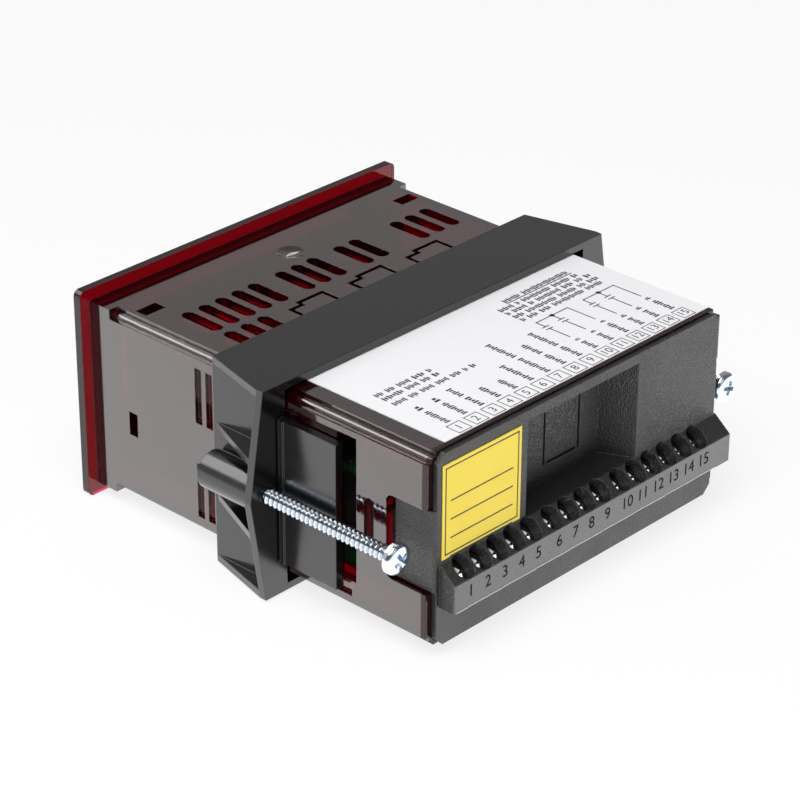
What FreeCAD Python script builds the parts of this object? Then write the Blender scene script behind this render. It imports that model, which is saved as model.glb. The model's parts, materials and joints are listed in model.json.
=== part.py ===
import FreeCAD, Part
import Sketcher
import math
import os
import re

# Digital panel meter, seen from behind: a smoked ruby case with its bezel, a black clamp frame that
# slides along the case, two long clamp screws, and a black rear cover with fifteen screw terminals.
# Millimetres. +Z is up, the display faces -Y, and the origin is the middle of the bezel's back face.

# Driving dimensions, as (name, value, what it is).
SIZES = (
    # Bezel and case
    ("bezel_width", 96.5, "bezel, side to side"),
    ("bezel_height", 49.5, "bezel, top to bottom"),
    ("bezel_depth", 2.6, "bezel, in front of the panel"),
    ("bezel_corner", 1.5, "radius of the bezel's corners"),
    ("bezel_edge", 0.6, "chamfer of the bezel's front edge"),
    ("case_width", 91.2, "case behind the panel, side to side"),
    ("case_height", 44.0, "case behind the panel, top to bottom"),
    ("case_length", 97.7, "bezel's back face to the open rear end"),
    ("case_wall", 2.0, "case wall"),
    ("front_wall", 2.0, "display window, part of the case moulding"),
    ("collar_length", 6.2, "full square section behind the bezel"),
    ("rebate_width", 2.4, "corner rebate, across the top and bottom"),
    ("rebate_height", 2.2, "corner rebate, down the sides"),
    ("rebate_depth", 1.2, "how far the corner strip lies in"),
    ("strip_round", 0.8, "round of the corner strip"),
    ("cavity_chamfer", 2.6, "flat across the inner corners"),
    # Openings in the top of the case
    ("vent_width", 3.1, "vent slot, across"),
    ("vent_length", 11.2, "vent slot, end to end"),
    ("vent_pitch", 4.8, "vent slot to vent slot"),
    ("vent_front", 18.6, "front end of the first row"),
    ("vent_row_gap", 1.6, "between the two rows"),
    ("vent_group_one", 35.6, "first slot of each group, from the middle"),
    ("vent_group_two", 8.2, "second group"),
    ("vent_group_three", -9.8, "third group"),
    ("vent_group_four", -27.8, "fourth group"),
    ("ear_slot_width", 5.6, "small slot near the bezel, across"),
    ("ear_slot_length", 3.2, "small slot near the bezel, along"),
    ("ear_slot_front", 10.6, "its front edge"),
    ("ear_slot_offset", 39.2, "its centre, from the middle"),
    ("slit_gap", 1.0, "width of the slits round the spring tabs"),
    ("tab_width", 10.7, "spring tab, slit to slit"),
    ("tab_step", 3.5, "width of the tab's short shoulder"),
    ("tab_jog", 1.3, "how far back the shoulder lies"),
    ("tab_front", 32.4, "front slit of the tabs"),
    ("tab_length", 12.0, "length of the tabs"),
    ("tab_first", 18.9, "first tab's outer slit, from the middle"),
    ("tab_pitch", 17.9, "tab to tab"),
    ("gate_radius", 3.2, "dish round the moulding gate, at its rim"),
    ("gate_floor", 1.3, "flat in the middle of the dish, radius"),
    ("gate_depth", 0.5, "its depth"),
    ("gate_offset", -1.1, "its place, from the middle"),
    ("gate_back", 13.4, "its place behind the bezel"),
    # Openings in the sides of the case
    ("side_slot_front", 11.3, "small side slot, front edge"),
    ("side_slot_width", 2.6, "its width"),
    ("side_slot_top", -0.3, "its top edge"),
    ("side_slot_height", 5.5, "its height"),
    ("ratchet_front", 32.2, "first latching recess, front edge"),
    ("ratchet_width", 2.1, "latching recess, along the case"),
    ("ratchet_pitch", 3.25, "recess to recess"),
    ("ratchet_depth", 0.9, "depth of the recesses"),
    ("ratchet_inner", 4.8, "lower end of the recess, from the middle"),
    ("ratchet_outer", 17.7, "upper end of the recess, from the middle"),
    ("side_window_front", 73.4, "tall side window, front edge"),
    ("side_window_width", 5.3, "its width"),
    ("side_window_top", 18.5, "its top edge"),
    ("side_window_bottom", -14.6, "its bottom edge"),
    ("window_pocket_gap", 0.8, "web below the side window"),
    ("window_pocket_width", 4.1, "shallow pocket below the window, along"),
    ("window_pocket_height", 2.8, "its height"),
    ("hook_slot_front", 80.8, "slot for the finger tab's arm, front edge"),
    ("hook_slot_width", 2.7, "its width"),
    ("hook_slot_height", 13.0, "its height"),
    ("notch_front", 86.9, "notch for the finger tab, front edge"),
    ("notch_height", 19.2, "its height"),
    ("notch_round", 1.6, "round of its inner corners"),
    # Hidden front: overlay, keys and display
    ("overlay_width", 88.0, "front film, across"),
    ("overlay_height", 42.0, "front film, height"),
    ("overlay_recess", 0.4, "recess that holds the film"),
    ("overlay_thick", 0.3, "film thickness"),
    ("view_width", 70.0, "clear window in the film, across"),
    ("view_height", 22.0, "clear window, height"),
    ("view_centre", 5.5, "clear window, above the middle"),
    ("key_width", 11.0, "push key, across"),
    ("key_height", 5.5, "push key, height"),
    ("key_pitch", 22.0, "key to key"),
    ("key_drop", 13.6, "keys below the middle"),
    ("key_clear", 0.25, "gap round a key"),
    ("key_proud", 0.7, "key in front of the bezel"),
    ("key_collar", 0.9, "retaining collar round a key"),
    ("key_collar_thick", 1.2, "its thickness"),
    ("key_stem", 3.2, "key behind the window"),
    ("key_travel", 0.7, "how far a key goes in"),
    # Display and boards
    ("board_thick", 1.6, "circuit boards"),
    ("board_width", 80.0, "long boards, across"),
    ("display_width", 82.0, "display board, across"),
    ("display_height", 36.0, "display board, height"),
    ("display_back", 7.4, "front face of the display board"),
    ("digit_width", 12.4, "one digit, across"),
    ("digit_height", 19.0, "one digit, height"),
    ("digit_depth", 7.0, "one digit, front to back"),
    ("digit_pitch", 12.7, "digit to digit"),
    ("led_radius", 1.5, "indicator lamp"),
    ("led_length", 6.2, "indicator lamp, length"),
    ("led_offset", 36.0, "indicator lamps, from the middle"),
    ("switch_size", 6.0, "key switch, square"),
    ("switch_gap", 0.3, "switch behind a pressed key"),
    ("main_level", -16.0, "underside of the main board"),
    ("signal_level", 6.0, "underside of the signal board"),
    ("link_width", 24.0, "board connector, across"),
    ("link_thick", 4.6, "board connector, thickness"),
    ("link_back", 40.0, "board connector, behind the bezel"),
    ("ribbon_width", 30.0, "display connector, across"),
    ("ribbon_depth", 5.0, "display connector, front to back"),
    ("ribbon_height", 6.0, "display connector, height"),
    ("coil_width", 20.0, "transformer, across"),
    ("coil_length", 17.0, "transformer, along"),
    ("coil_height", 16.0, "transformer, height"),
    ("coil_core", 4.5, "transformer core, end limbs"),
    ("coil_winding", 6.2, "transformer winding, radius"),
    ("coil_winding_proud", 1.2, "winding beyond the core at each end"),
    ("coil_back", 55.0, "transformer, behind the bezel"),
    ("coil_offset", 24.0, "transformer, from the middle"),
    ("relay_width", 10.0, "relay, across"),
    ("relay_length", 28.0, "relay, along"),
    ("relay_height", 15.0, "relay, height"),
    ("relay_back", 52.0, "relays, behind the bezel"),
    ("relay_first", -16.0, "first relay, from the middle"),
    ("relay_pitch", 12.0, "relay to relay"),
    ("bulk_radius", 6.3, "mains capacitor"),
    ("bulk_length", 17.0, "mains capacitor, height"),
    ("bulk_back", 36.0, "mains capacitor, behind the bezel"),
    ("bulk_offset", 26.0, "mains capacitor, from the middle"),
    ("small_cap_radius", 4.0, "output capacitors"),
    ("small_cap_length", 11.5, "output capacitors, height"),
    ("small_cap_back", 22.0, "output capacitors, behind the bezel"),
    ("small_cap_first", 30.0, "first output capacitor, from the middle"),
    ("small_cap_pitch", 9.0, "output capacitor to capacitor"),
    ("logic_size", 14.0, "logic chip, square"),
    ("logic_thick", 1.5, "logic chip, thickness"),
    ("logic_back", 30.0, "logic chip, behind the bezel"),
    ("logic_offset", -10.0, "logic chip, from the middle"),
    ("input_width", 10.3, "input chip, across"),
    ("input_length", 7.5, "input chip, along"),
    ("input_thick", 2.4, "input chip, thickness"),
    ("input_back", 66.0, "input chip, behind the bezel"),
    ("input_offset", 10.0, "input chip, from the middle"),
    # Rear cover
    ("cover_width", 87.6, "rear cover's flange, across"),
    ("cover_top_drop", 0.4, "flange below the case top"),
    ("cover_flange", 1.2, "flange thickness"),
    ("cover_chamfer", 2.0, "flange corners"),
    ("cover_wall", 1.6, "cover wall"),
    ("cover_clear", 0.3, "gap between cover and case"),
    ("plug_depth", 7.8, "part of the cover inside the case"),
    ("recess_mouth", 35.0, "recess in the rear face, across its mouth"),
    ("recess_root", 27.0, "recess, across its back"),
    ("recess_back", 7.4, "recess depth"),
    ("recess_top", 19.2, "recess, upper edge"),
    ("recess_floor", -3.05, "recess floor and top of the terminal slope"),
    ("knockout_width", 10.9, "knock-out in the recess, slit to slit"),
    ("knockout_offset", -2.0, "knock-out, from the middle"),
    ("knockout_base", 0.6, "lower slit of the knock-out"),
    ("knockout_slit", 0.5, "slit width"),
    ("knockout_tie", 1.0, "tie left at each lower corner"),
    ("finger_height", 18.4, "finger tab, height"),
    ("finger_front", 88.3, "finger tab, front edge"),
    ("finger_sink", 1.2, "finger tab, below the case side"),
    ("finger_round", 0.8, "round of its rear edge"),
    ("arm_front", 79.6, "latch arm inside the case, front end"),
    ("arm_height", 10.0, "latch arm, height"),
    # Terminals
    ("block_width", 87.4, "terminal block, across"),
    ("block_offset", -0.8, "terminal block, from the middle"),
    ("block_bottom", -12.9, "terminal block, underside"),
    ("slope_run", 4.2, "terminal slope, front to back"),
    ("slope_drop", 3.4, "terminal slope, top to bottom"),
    ("block_skin", 1.2, "terminal block wall"),
    ("slope_skin", 3.2, "wall under the terminal slope"),
    ("terminal_first", 38.15, "first terminal, from the middle"),
    ("terminal_pitch", 5.08, "terminal to terminal"),
    ("terminal_group_gap", 6.4, "last of a group to the first of the next"),
    ("access_width", 4.5, "screwdriver hole, across"),
    ("access_length", 5.6, "screwdriver hole, along the slope"),
    ("access_shift", 0.2, "screwdriver hole, up from the slope's middle"),
    ("access_scallop", 0.6, "how far the hole cuts above the slope"),
    ("wire_width", 3.4, "wire entry, across"),
    ("wire_depth", 2.8, "wire entry, front to back"),
    ("wire_back", 1.9, "wire entry, behind the rear face"),
    ("housing_clear", 0.3, "gap round the terminal housings"),
    ("housing_front", 90.5, "terminal housing, front end"),
    ("housing_foot", 96.8, "rear end of the housing's foot"),
    ("housing_end", 0.3, "housing beyond its last terminal's half pitch"),
    ("housing_well", 4.2, "housing's square screw well"),
    ("housing_well_depth", 6.3, "well depth under the slope"),
    ("terminal_head", 1.9, "terminal screw head, radius"),
    ("terminal_head_depth", 3.5, "terminal screw head, below the slope"),
    ("terminal_head_thick", 1.6, "terminal screw head, thickness"),
    ("terminal_slot", 0.6, "screwdriver slot width"),
    ("terminal_slot_depth", 0.7, "screwdriver slot depth"),
    ("clamp_size", 4.0, "wire clamp, square plate"),
    ("clamp_clear", 0.05, "gap between clamp and screw"),
    ("clamp_thick", 1.1, "wire clamp, thickness"),
    # Panel latch and clamp screws
    ("latch_front", 40.3, "clamp frame, front edge"),
    ("latch_length", 18.9, "clamp frame, front to back"),
    ("latch_side_clear", 0.4, "gap beside the case"),
    ("latch_top_clear", 0.6, "gap over and under the case"),
    ("latch_side_wall", 2.0, "side walls"),
    ("latch_top_wall", 1.6, "top and bottom walls"),
    ("wing_reach", 4.2, "wing beyond the side wall, at top and bottom"),
    ("wing_point", 8.1, "wing beyond the side wall, at the screw"),
    ("wing_plate", 1.8, "rear plate of a wing"),
    ("gusset_thick", 1.5, "gusset thickness"),
    ("gusset_offset", 8.5, "gussets above and below the screw"),
    ("gusset_setback", 0.8, "gussets behind the front edge"),
    ("boss_radius", 4.3, "screw boss"),
    ("boss_setback", 2.2, "screw boss behind the front edge"),
    ("screw_reach", 2.8, "screw axis beyond the side wall"),
    ("screw_clear", 0.08, "gap round the screw"),
    ("tongue_length", 16.1, "tongue behind the wing"),
    ("tongue_height", 33.2, "tongue, height"),
    ("root_rib", 1.0, "rib at the tongue's root, along"),
    ("root_rib_proud", 0.4, "how far it stands out"),
    ("root_rib_gap", 0.5, "rib behind the wing"),
    ("screw_radius", 1.75, "clamp screw"),
    ("screw_length", 50.8, "clamp screw, under its head"),
    ("screw_point", 0.5, "chamfer at the screw's end"),
    ("screw_head", 3.45, "pan head, radius"),
    ("screw_head_rim", 0.9, "pan head, straight rim"),
    ("screw_head_height", 2.3, "pan head, height"),
    ("screw_crown", 1.9, "flat on the pan head, radius"),
    ("cross_width", 0.95, "cross recess, width of a bar"),
    ("cross_span", 3.7, "cross recess, end to end"),
    ("cross_depth", 1.3, "cross recess, depth"),
    ("screw_stand_left", 34.6, "left screw's head behind the wing"),
    ("screw_stand_right", 36.1, "right screw's head behind the wing"),
    # Labels
    ("label_thick", 0.15, "label film"),
    ("top_label_left", 39.2, "white label, +X edge"),
    ("top_label_right", -43.0, "white label, -X edge"),
    ("top_label_front", 52.0, "white label, front edge"),
    ("top_label_margin", 1.2, "white label, before the case end"),
    ("rear_label_left", 42.4, "yellow label, +X edge"),
    ("rear_label_right", 19.3, "yellow label, -X edge"),
    ("rear_label_top", 18.9, "yellow label, top edge"),
    ("rear_label_bottom", -2.3, "yellow label, bottom edge"),
)

# Counts that make up the layout, group by group.
VENT_GROUPS = (("vent_group_one", 5), ("vent_group_two", 3), ("vent_group_three", 2), ("vent_group_four", 3))
BACK_ROW_VENTS = 3
SPRING_TABS = 3
RATCHET_STEPS = 10
DIGITS = 5
SMALL_CAPS = 3
# Flats round a small part that repeats or is hidden, to keep its facets few.
FLATS = 16
TERMINAL_GROUPS = (("power", 5), ("signal", 4), ("relay", 6))

NAMES = {name for name, value, note in SIZES}
WORD = re.compile(r"[a-z][a-z_]+")
# World axis along a plane's own normal: the XZ plane looks towards -Y.
PLANES = {"XY": ("XY_Plane", 1), "XZ": ("XZ_Plane", -1), "YZ": ("YZ_Plane", 1)}

doc = FreeCAD.newDocument("panel_meter")
sheet = doc.addObject("Spreadsheet::Sheet", "Sizes")
for row, (name, value, note) in enumerate(SIZES, start=1):
    sheet.set(f"A{row}", note)
    sheet.set(f"B{row}", str(value))
    sheet.setAlias(f"B{row}", name)
doc.recompute()

pieces = []
plane_sense = {}


def formula(text):
    """Turn the plain size names in a formula into references to the sheet."""
    def named(word):
        return f"Sizes.{word.group()}" if word.group() in NAMES else word.group()

    return WORD.sub(named, str(text))


def bind(item, prop, text):
    """Tie a property to a formula of the sizes."""
    item.setExpression(prop, formula(text))


def finish(item, name):
    """Name a finished sub-part and keep it for writing."""
    item.Label = name
    pieces.append(item)
    return item


# Sketches and features


def new_body(name):
    """Start a body."""
    return doc.addObject("PartDesign::Body", name)


def sketch_at(body, plane, level, name):
    """Make a sketch parallel to an origin plane; level is its coordinate along the world axis."""
    role, sense = PLANES[plane]
    sketch = body.newObject("Sketcher::SketchObject", name)
    support = next(item for item in body.Origin.OriginFeatures if item.Role == role)
    sketch.AttachmentSupport = (support, [""])
    sketch.MapMode = "FlatFace"
    bind(sketch, "AttachmentOffset.Base.z", f"{sense} * ({level})")
    plane_sense[sketch.Name] = sense
    return sketch


def drive(sketch, constraint, text):
    """Add a dimension and tie it to a formula."""
    index = sketch.addConstraint(constraint)
    sketch.setExpression(f"Constraints[{index}]", formula(text))


def polygon(sketch, points):
    """Closed outline through points, each a pair of formulas in the sketch's own axes."""
    first = sketch.GeometryCount
    count = len(points)
    turns = [2 * math.pi * (i + 0.5) / count for i in range(count)]
    start = [FreeCAD.Vector(math.cos(turn), math.sin(turn), 0) for turn in turns]
    for i in range(count):
        sketch.addGeometry(Part.LineSegment(start[i], start[(i + 1) % count]))
    for i in range(count):
        following = first + (i + 1) % count
        sketch.addConstraint(Sketcher.Constraint("Coincident", first + i, 2, following, 1))
    for i, (across, up) in enumerate(points):
        drive(sketch, Sketcher.Constraint("DistanceX", -1, 1, first + i, 1, start[i].x), across)
        drive(sketch, Sketcher.Constraint("DistanceY", -1, 1, first + i, 1, start[i].y), up)


def rectangle(sketch, across, up):
    """Rectangle between (low, high) formulas on both axes."""
    polygon(sketch, ((across[0], up[0]), (across[1], up[0]), (across[1], up[1]), (across[0], up[1])))


def chamfered(sketch, half_width, low, high, corner):
    """Rectangle about the vertical axis with its corners cut off."""
    side = f"({half_width})"
    inner = f"({side} - {corner})"
    polygon(sketch, (
        (f"-{inner}", low), (inner, low), (side, f"{low} + {corner}"), (side, f"{high} - {corner}"),
        (inner, high), (f"-{inner}", high),
        (f"-{side}", f"{high} - {corner}"), (f"-{side}", f"{low} + {corner}"),
    ))


def circle(sketch, across, up, radius):
    """Circle about a point."""
    index = sketch.addGeometry(Part.Circle(FreeCAD.Vector(1, 1, 0), FreeCAD.Vector(0, 0, 1), 1))
    drive(sketch, Sketcher.Constraint("DistanceX", -1, 1, index, 3, 1), across)
    drive(sketch, Sketcher.Constraint("DistanceY", -1, 1, index, 3, 1), up)
    drive(sketch, Sketcher.Constraint("Radius", index, 1), radius)


def obround(sketch, across, low, high, width):
    """Slot with round ends, along the sketch's second axis, between its end points low and high."""
    low_arc, high_arc, left, right = range(sketch.GeometryCount, sketch.GeometryCount + 4)
    normal = FreeCAD.Vector(0, 0, 1)
    near, far, half = 1, 3, 0.5
    low_ring = Part.Circle(FreeCAD.Vector(near, near, 0), normal, half)
    high_ring = Part.Circle(FreeCAD.Vector(near, far, 0), normal, half)
    sketch.addGeometry(Part.ArcOfCircle(low_ring, math.pi, 2 * math.pi))
    sketch.addGeometry(Part.ArcOfCircle(high_ring, 0, math.pi))
    for edge, start, end in ((near - half, far, near), (near + half, near, far)):
        side = Part.LineSegment(FreeCAD.Vector(edge, start, 0), FreeCAD.Vector(edge, end, 0))
        sketch.addGeometry(side)
    for one, two in ((high_arc, left), (left, low_arc), (low_arc, right), (right, high_arc)):
        sketch.addConstraint(Sketcher.Constraint("Tangent", one, 2, two, 1))
    sketch.addConstraint(Sketcher.Constraint("Equal", low_arc, high_arc))
    ends = ((low_arc, near, f"{low} + ({width}) / 2"), (high_arc, far, f"{high} - ({width}) / 2"))
    for arc, place, end in ends:
        drive(sketch, Sketcher.Constraint("DistanceX", -1, 1, arc, 3, near), across)
        drive(sketch, Sketcher.Constraint("DistanceY", -1, 1, arc, 3, place), end)
    drive(sketch, Sketcher.Constraint("Radius", low_arc, half), f"({width}) / 2")


def pad(body, sketch, length, towards):
    """Extrude a sketch towards +1 or -1 along its world axis, or 0 for both ways alike."""
    feature = body.newObject("PartDesign::Pad", f"{sketch.Name}_pad")
    feature.Profile = sketch
    bind(feature, "Length", length)
    if towards:
        feature.Reversed = towards * plane_sense[sketch.Name] < 0
    else:
        feature.SideType = "Symmetric"
    doc.recompute()
    return feature


def pocket(body, sketch, length, towards):
    """Cut a sketch towards +1 or -1 along its world axis; no length cuts right through both ways."""
    before = body.Shape.Volume
    feature = body.newObject("PartDesign::Pocket", f"{sketch.Name}_cut")
    feature.Profile = sketch
    if length:
        bind(feature, "Length", length)
        feature.Reversed = towards * plane_sense[sketch.Name] > 0
    else:
        feature.Type = "ThroughAll"
        feature.SideType = "Symmetric"
    doc.recompute()
    if body.Shape.Volume >= before:
        raise ValueError(f"{feature.Name} cuts nothing")
    return feature


def turn_out(body, sketch):
    """Cut a sketch turned all the way round its own upright axis."""
    feature = body.newObject("PartDesign::Groove", f"{sketch.Name}_cut")
    feature.Profile = sketch
    feature.ReferenceAxis = (sketch, ["V_Axis"])
    feature.Angle = 360
    doc.recompute()
    return feature


def repeat_along(body, feature, role, length, count):
    """Repeat a feature along one of the body's axes."""
    pattern = body.newObject("PartDesign::LinearPattern", f"{feature.Name}_row")
    pattern.Originals = [feature]
    axis = next(item for item in body.Origin.OriginFeatures if item.Role == role)
    pattern.Direction = (axis, [""])
    bind(pattern, "Length", length)
    pattern.Occurrences = count
    body.Tip = pattern
    doc.recompute()
    return pattern


def edges_where(shape, test):
    """Names of the edges whose two ends both pass a test."""
    return [f"Edge{i}" for i, edge in enumerate(shape.Edges, start=1)
            if all(test(v.Point) for v in edge.Vertexes)]


def fillet(body, base, edges, radius):
    """Round the named edges of a feature."""
    feature = body.newObject("PartDesign::Fillet", f"{base.Name}_round")
    feature.Base = (base, edges)
    bind(feature, "Radius", radius)
    doc.recompute()
    return feature


def chamfer(body, base, edges, size):
    """Bevel the named edges of a feature."""
    feature = body.newObject("PartDesign::Chamfer", f"{base.Name}_bevel")
    feature.Base = (base, edges)
    bind(feature, "Size", size)
    doc.recompute()
    return feature


# Primitives and booleans


def box(name, across, along, up):
    """Box between (low, high) formulas on X, Y and Z."""
    item = doc.addObject("Part::Box", name)
    for side, axis, (low, high) in (("Length", "x", across), ("Width", "y", along), ("Height", "z", up)):
        bind(item, side, f"({high}) - ({low})")
        bind(item, f"Placement.Base.{axis}", low)
    return item


def cylinder(name, radius, length, place, turn=None):
    """Cylinder from a place (x, y, z), along +Z or turned about the X axis by a formula in degrees."""
    item = doc.addObject("Part::Cylinder", name)
    bind(item, "Radius", radius)
    return stand(item, length, place, turn)


def drum(name, radius, length, place, turn=None):
    """Small round part as a prism with many flats, placed as a cylinder is."""
    item = doc.addObject("Part::Prism", name)
    item.Polygon = FLATS
    bind(item, "Circumradius", radius)
    return stand(item, length, place, turn)


def stand(item, length, place, turn):
    """Give a round item its length and its place, turned about the X axis."""
    bind(item, "Height", length)
    item.Placement.Rotation = FreeCAD.Rotation(FreeCAD.Vector(1, 0, 0), 1)
    bind(item, "Placement.Rotation.Angle", turn or "0")
    for axis, text in zip("xyz", place):
        bind(item, f"Placement.Base.{axis}", text)
    return item


def cut(name, base, *tools):
    """Take tools away from a base."""
    for i, tool in enumerate(tools):
        item = doc.addObject("Part::Cut", f"{name}_cut_{i}")
        item.Base = base
        item.Tool = tool
        base = item
    return base


def fuse(name, *parts):
    """Join overlapping or touching shapes into one."""
    item = doc.addObject("Part::MultiFuse", f"{name}_join")
    item.Shapes = list(parts)
    item.Refine = True
    return item


def group(name, parts):
    """Keep like solids together as one piece."""
    item = doc.addObject("Part::Compound", f"{name}_group")
    item.Links = list(parts)
    return finish(item, name)


# Places that several pieces share

CASE_HALF = "(case_width / 2)"
CASE_TOP = "(case_height / 2)"
CAVITY_HALF = "(case_width / 2 - case_wall)"
CAVITY_TOP = "(case_height / 2 - case_wall)"
WINDOW_INSIDE = "(front_wall - bezel_depth)"
REAR_FACE = "(case_length + cover_flange)"
PLUG_HALF = f"({CAVITY_HALF} - cover_clear)"
PLUG_TOP = f"({CAVITY_TOP} - cover_clear)"
PLUG_FRONT = "(case_length - plug_depth)"
COVER_INSIDE = f"({REAR_FACE} - cover_wall)"
RECESS_BACK = f"({REAR_FACE} - recess_back)"
BLOCK_REAR = f"({REAR_FACE} + slope_run)"
SLOPE = "atan(slope_drop / slope_run)"
MAIN_TOP = "(main_level + board_thick)"
SIGNAL_TOP = "(signal_level + board_thick)"
DISPLAY_REAR = "(display_back + board_thick)"
LATCH_REAR = "(latch_front + latch_length)"
LATCH_INNER = f"({CASE_HALF} + latch_side_clear)"
LATCH_SIDE = f"({LATCH_INNER} + latch_side_wall)"
LATCH_TOP = f"({CASE_TOP} + latch_top_clear + latch_top_wall)"
SCREW_OFFSET = f"({LATCH_SIDE} + screw_reach)"
SIDES = (("left", 1), ("right", -1))


def terminal_places():
    """The X of every terminal, group by group, from the first at +X to the last at -X."""
    start = "terminal_first"
    places = []
    for name, count in TERMINAL_GROUPS:
        places.append([f"({start} - {i} * terminal_pitch)" for i in range(count)])
        start = f"{places[-1][-1]} - terminal_group_gap"
    return places


TERMINALS = terminal_places()
ALL_TERMINALS = [place for places in TERMINALS for place in places]


def slope_height(along, sunk):
    """Z of a line parallel to the terminal slope, sunk square to it, at a given Y."""
    return f"(recess_floor - slope_drop / slope_run * ({along} - {REAR_FACE}) - ({sunk}) / cos({SLOPE}))"


def slope_sketch(body, name):
    """Sketch on the terminal slope, centred on it, first axis along X and second down the slope."""
    sketch = sketch_at(body, "XY", "recess_floor - slope_drop / 2", name)
    bind(sketch, "AttachmentOffset.Base.y", f"{REAR_FACE} + slope_run / 2")
    sketch.AttachmentOffset.Rotation = FreeCAD.Rotation(FreeCAD.Vector(1, 0, 0), -1)
    bind(sketch, "AttachmentOffset.Rotation.Angle", f"-{SLOPE}")
    return sketch


def under_slope(depth):
    """Y and Z of a point at a depth square under the middle of the terminal slope."""
    along = f"{REAR_FACE} + slope_run / 2 - ({depth}) * sin({SLOPE})"
    up = f"recess_floor - slope_drop / 2 - ({depth}) * cos({SLOPE})"
    return along, up


# Case


def make_case():
    """Bezel, case and display window in one moulding, open at the rear."""
    body = new_body("case")
    bezel = sketch_at(body, "XZ", "0", "bezel_outline")
    rectangle(bezel, ("-bezel_width / 2", "bezel_width / 2"), ("-bezel_height / 2", "bezel_height / 2"))
    plate = pad(body, bezel, "bezel_depth", -1)
    upright = [f"Edge{i}" for i, edge in enumerate(plate.Shape.Edges, start=1)
               if abs(edge.tangentAt(edge.FirstParameter).y) > 0.9]
    rounded = fillet(body, plate, upright, "bezel_corner")
    front = edges_where(rounded.Shape, lambda p: abs(p.y + sheet.bezel_depth) < 1e-6)
    chamfer(body, rounded, front, "bezel_edge")

    collar = sketch_at(body, "XZ", "0", "collar_outline")
    rectangle(collar, (f"-{CASE_HALF}", CASE_HALF), (f"-{CASE_TOP}", CASE_TOP))
    pad(body, collar, "collar_length", 1)

    # The long section: every corner is rebated, with a narrow strip standing in the rebate.
    quarter = (
        (f"{CASE_HALF} - rebate_width", CASE_TOP),
        (f"{CASE_HALF} - rebate_width", f"{CASE_TOP} - rebate_depth"),
        (f"{CASE_HALF} - rebate_depth", f"{CASE_TOP} - rebate_depth"),
        (f"{CASE_HALF} - rebate_depth", f"{CASE_TOP} - rebate_height"),
        (CASE_HALF, f"{CASE_TOP} - rebate_height"),
    )
    outline = []
    for across, up in ((1, 1), (1, -1), (-1, -1), (-1, 1)):
        points = [(f"{across} * ({x})", f"{up} * ({z})") for x, z in quarter]
        outline += points if across * up > 0 else points[::-1]
    section = sketch_at(body, "XZ", "0", "case_section")
    polygon(section, outline)
    shell = pad(body, section, "case_length", 1)
    strip_x = sheet.case_width / 2 - sheet.rebate_depth
    strip_z = sheet.case_height / 2 - sheet.rebate_depth
    strips = edges_where(shell.Shape, lambda p: abs(abs(p.x) - strip_x) + abs(abs(p.z) - strip_z) < 1e-6)
    fillet(body, shell, strips, "strip_round")

    cavity = sketch_at(body, "XZ", "case_length", "cavity_outline")
    chamfered(cavity, CAVITY_HALF, f"-{CAVITY_TOP}", CAVITY_TOP, "cavity_chamfer")
    pocket(body, cavity, f"case_length - {WINDOW_INSIDE}", -1)

    cut_case_top(body)
    cut_case_sides(body)
    cut_case_front(body)
    return finish(body, "case")


def cut_case_top(body):
    """Vents, ear slots, spring tabs and the dish round the moulding gate."""
    through_top = "case_wall + rebate_depth"
    vents = sketch_at(body, "XY", CASE_TOP, "vent_slots")
    front_row = ("vent_front", "vent_front + vent_length")
    for start, count in VENT_GROUPS:
        for i in range(count):
            obround(vents, f"{start} - {i} * vent_pitch", *front_row, "vent_width")
    back_row = "(vent_front + vent_length + vent_row_gap)"
    for i in range(BACK_ROW_VENTS):
        across = f"vent_group_one - {i} * vent_pitch"
        obround(vents, across, back_row, f"{back_row} + vent_length", "vent_width")
    pocket(body, vents, through_top, -1)

    ears = sketch_at(body, "XY", CASE_TOP, "ear_slots")
    for side, sign in SIDES:
        centre = f"{sign} * ear_slot_offset"
        rectangle(ears, (f"{centre} - ear_slot_width / 2", f"{centre} + ear_slot_width / 2"),
                  ("ear_slot_front", "ear_slot_front + ear_slot_length"))
    pocket(body, ears, through_top, -1)

    slits = sketch_at(body, "XY", CASE_TOP, "spring_tab_slits")
    for i in range(SPRING_TABS):
        polygon(slits, spring_tab(f"(tab_first - {i} * tab_pitch)"))
    pocket(body, slits, through_top, -1)

    dish = sketch_at(body, "XZ", "gate_back", "gate_dish")
    bind(dish, "AttachmentOffset.Base.x", "gate_offset")
    slant = "(gate_radius - gate_floor) / 2"
    polygon(dish, (("0", CASE_TOP), ("gate_radius", CASE_TOP),
                   (f"gate_floor + {slant}", f"{CASE_TOP} - gate_depth * 0.65"),
                   ("gate_floor", f"{CASE_TOP} - gate_depth"), ("0", f"{CASE_TOP} - gate_depth")))
    turn_out(body, dish)


def spring_tab(left):
    """Outline of the slit round one spring tab: two legs, a front edge and a shoulder set back."""
    gap = "slit_gap / 2"
    right = f"({left} - tab_width)"
    shoulder = f"({left} - tab_step)"
    rear = "(tab_front + tab_length)"
    inside = (
        (f"{left} - {gap}", rear), (f"{left} - {gap}", f"tab_front + tab_jog + {gap}"),
        (f"{shoulder} - {gap}", f"tab_front + tab_jog + {gap}"),
        (f"{shoulder} - {gap}", f"tab_front + {gap}"),
        (f"{right} + {gap}", f"tab_front + {gap}"), (f"{right} + {gap}", rear),
    )
    outside = (
        (f"{right} - {gap}", rear), (f"{right} - {gap}", f"tab_front - {gap}"),
        (f"{shoulder} + {gap}", f"tab_front - {gap}"),
        (f"{shoulder} + {gap}", f"tab_front + tab_jog - {gap}"),
        (f"{left} + {gap}", f"tab_front + tab_jog - {gap}"), (f"{left} + {gap}", rear),
    )
    return inside + outside


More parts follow.
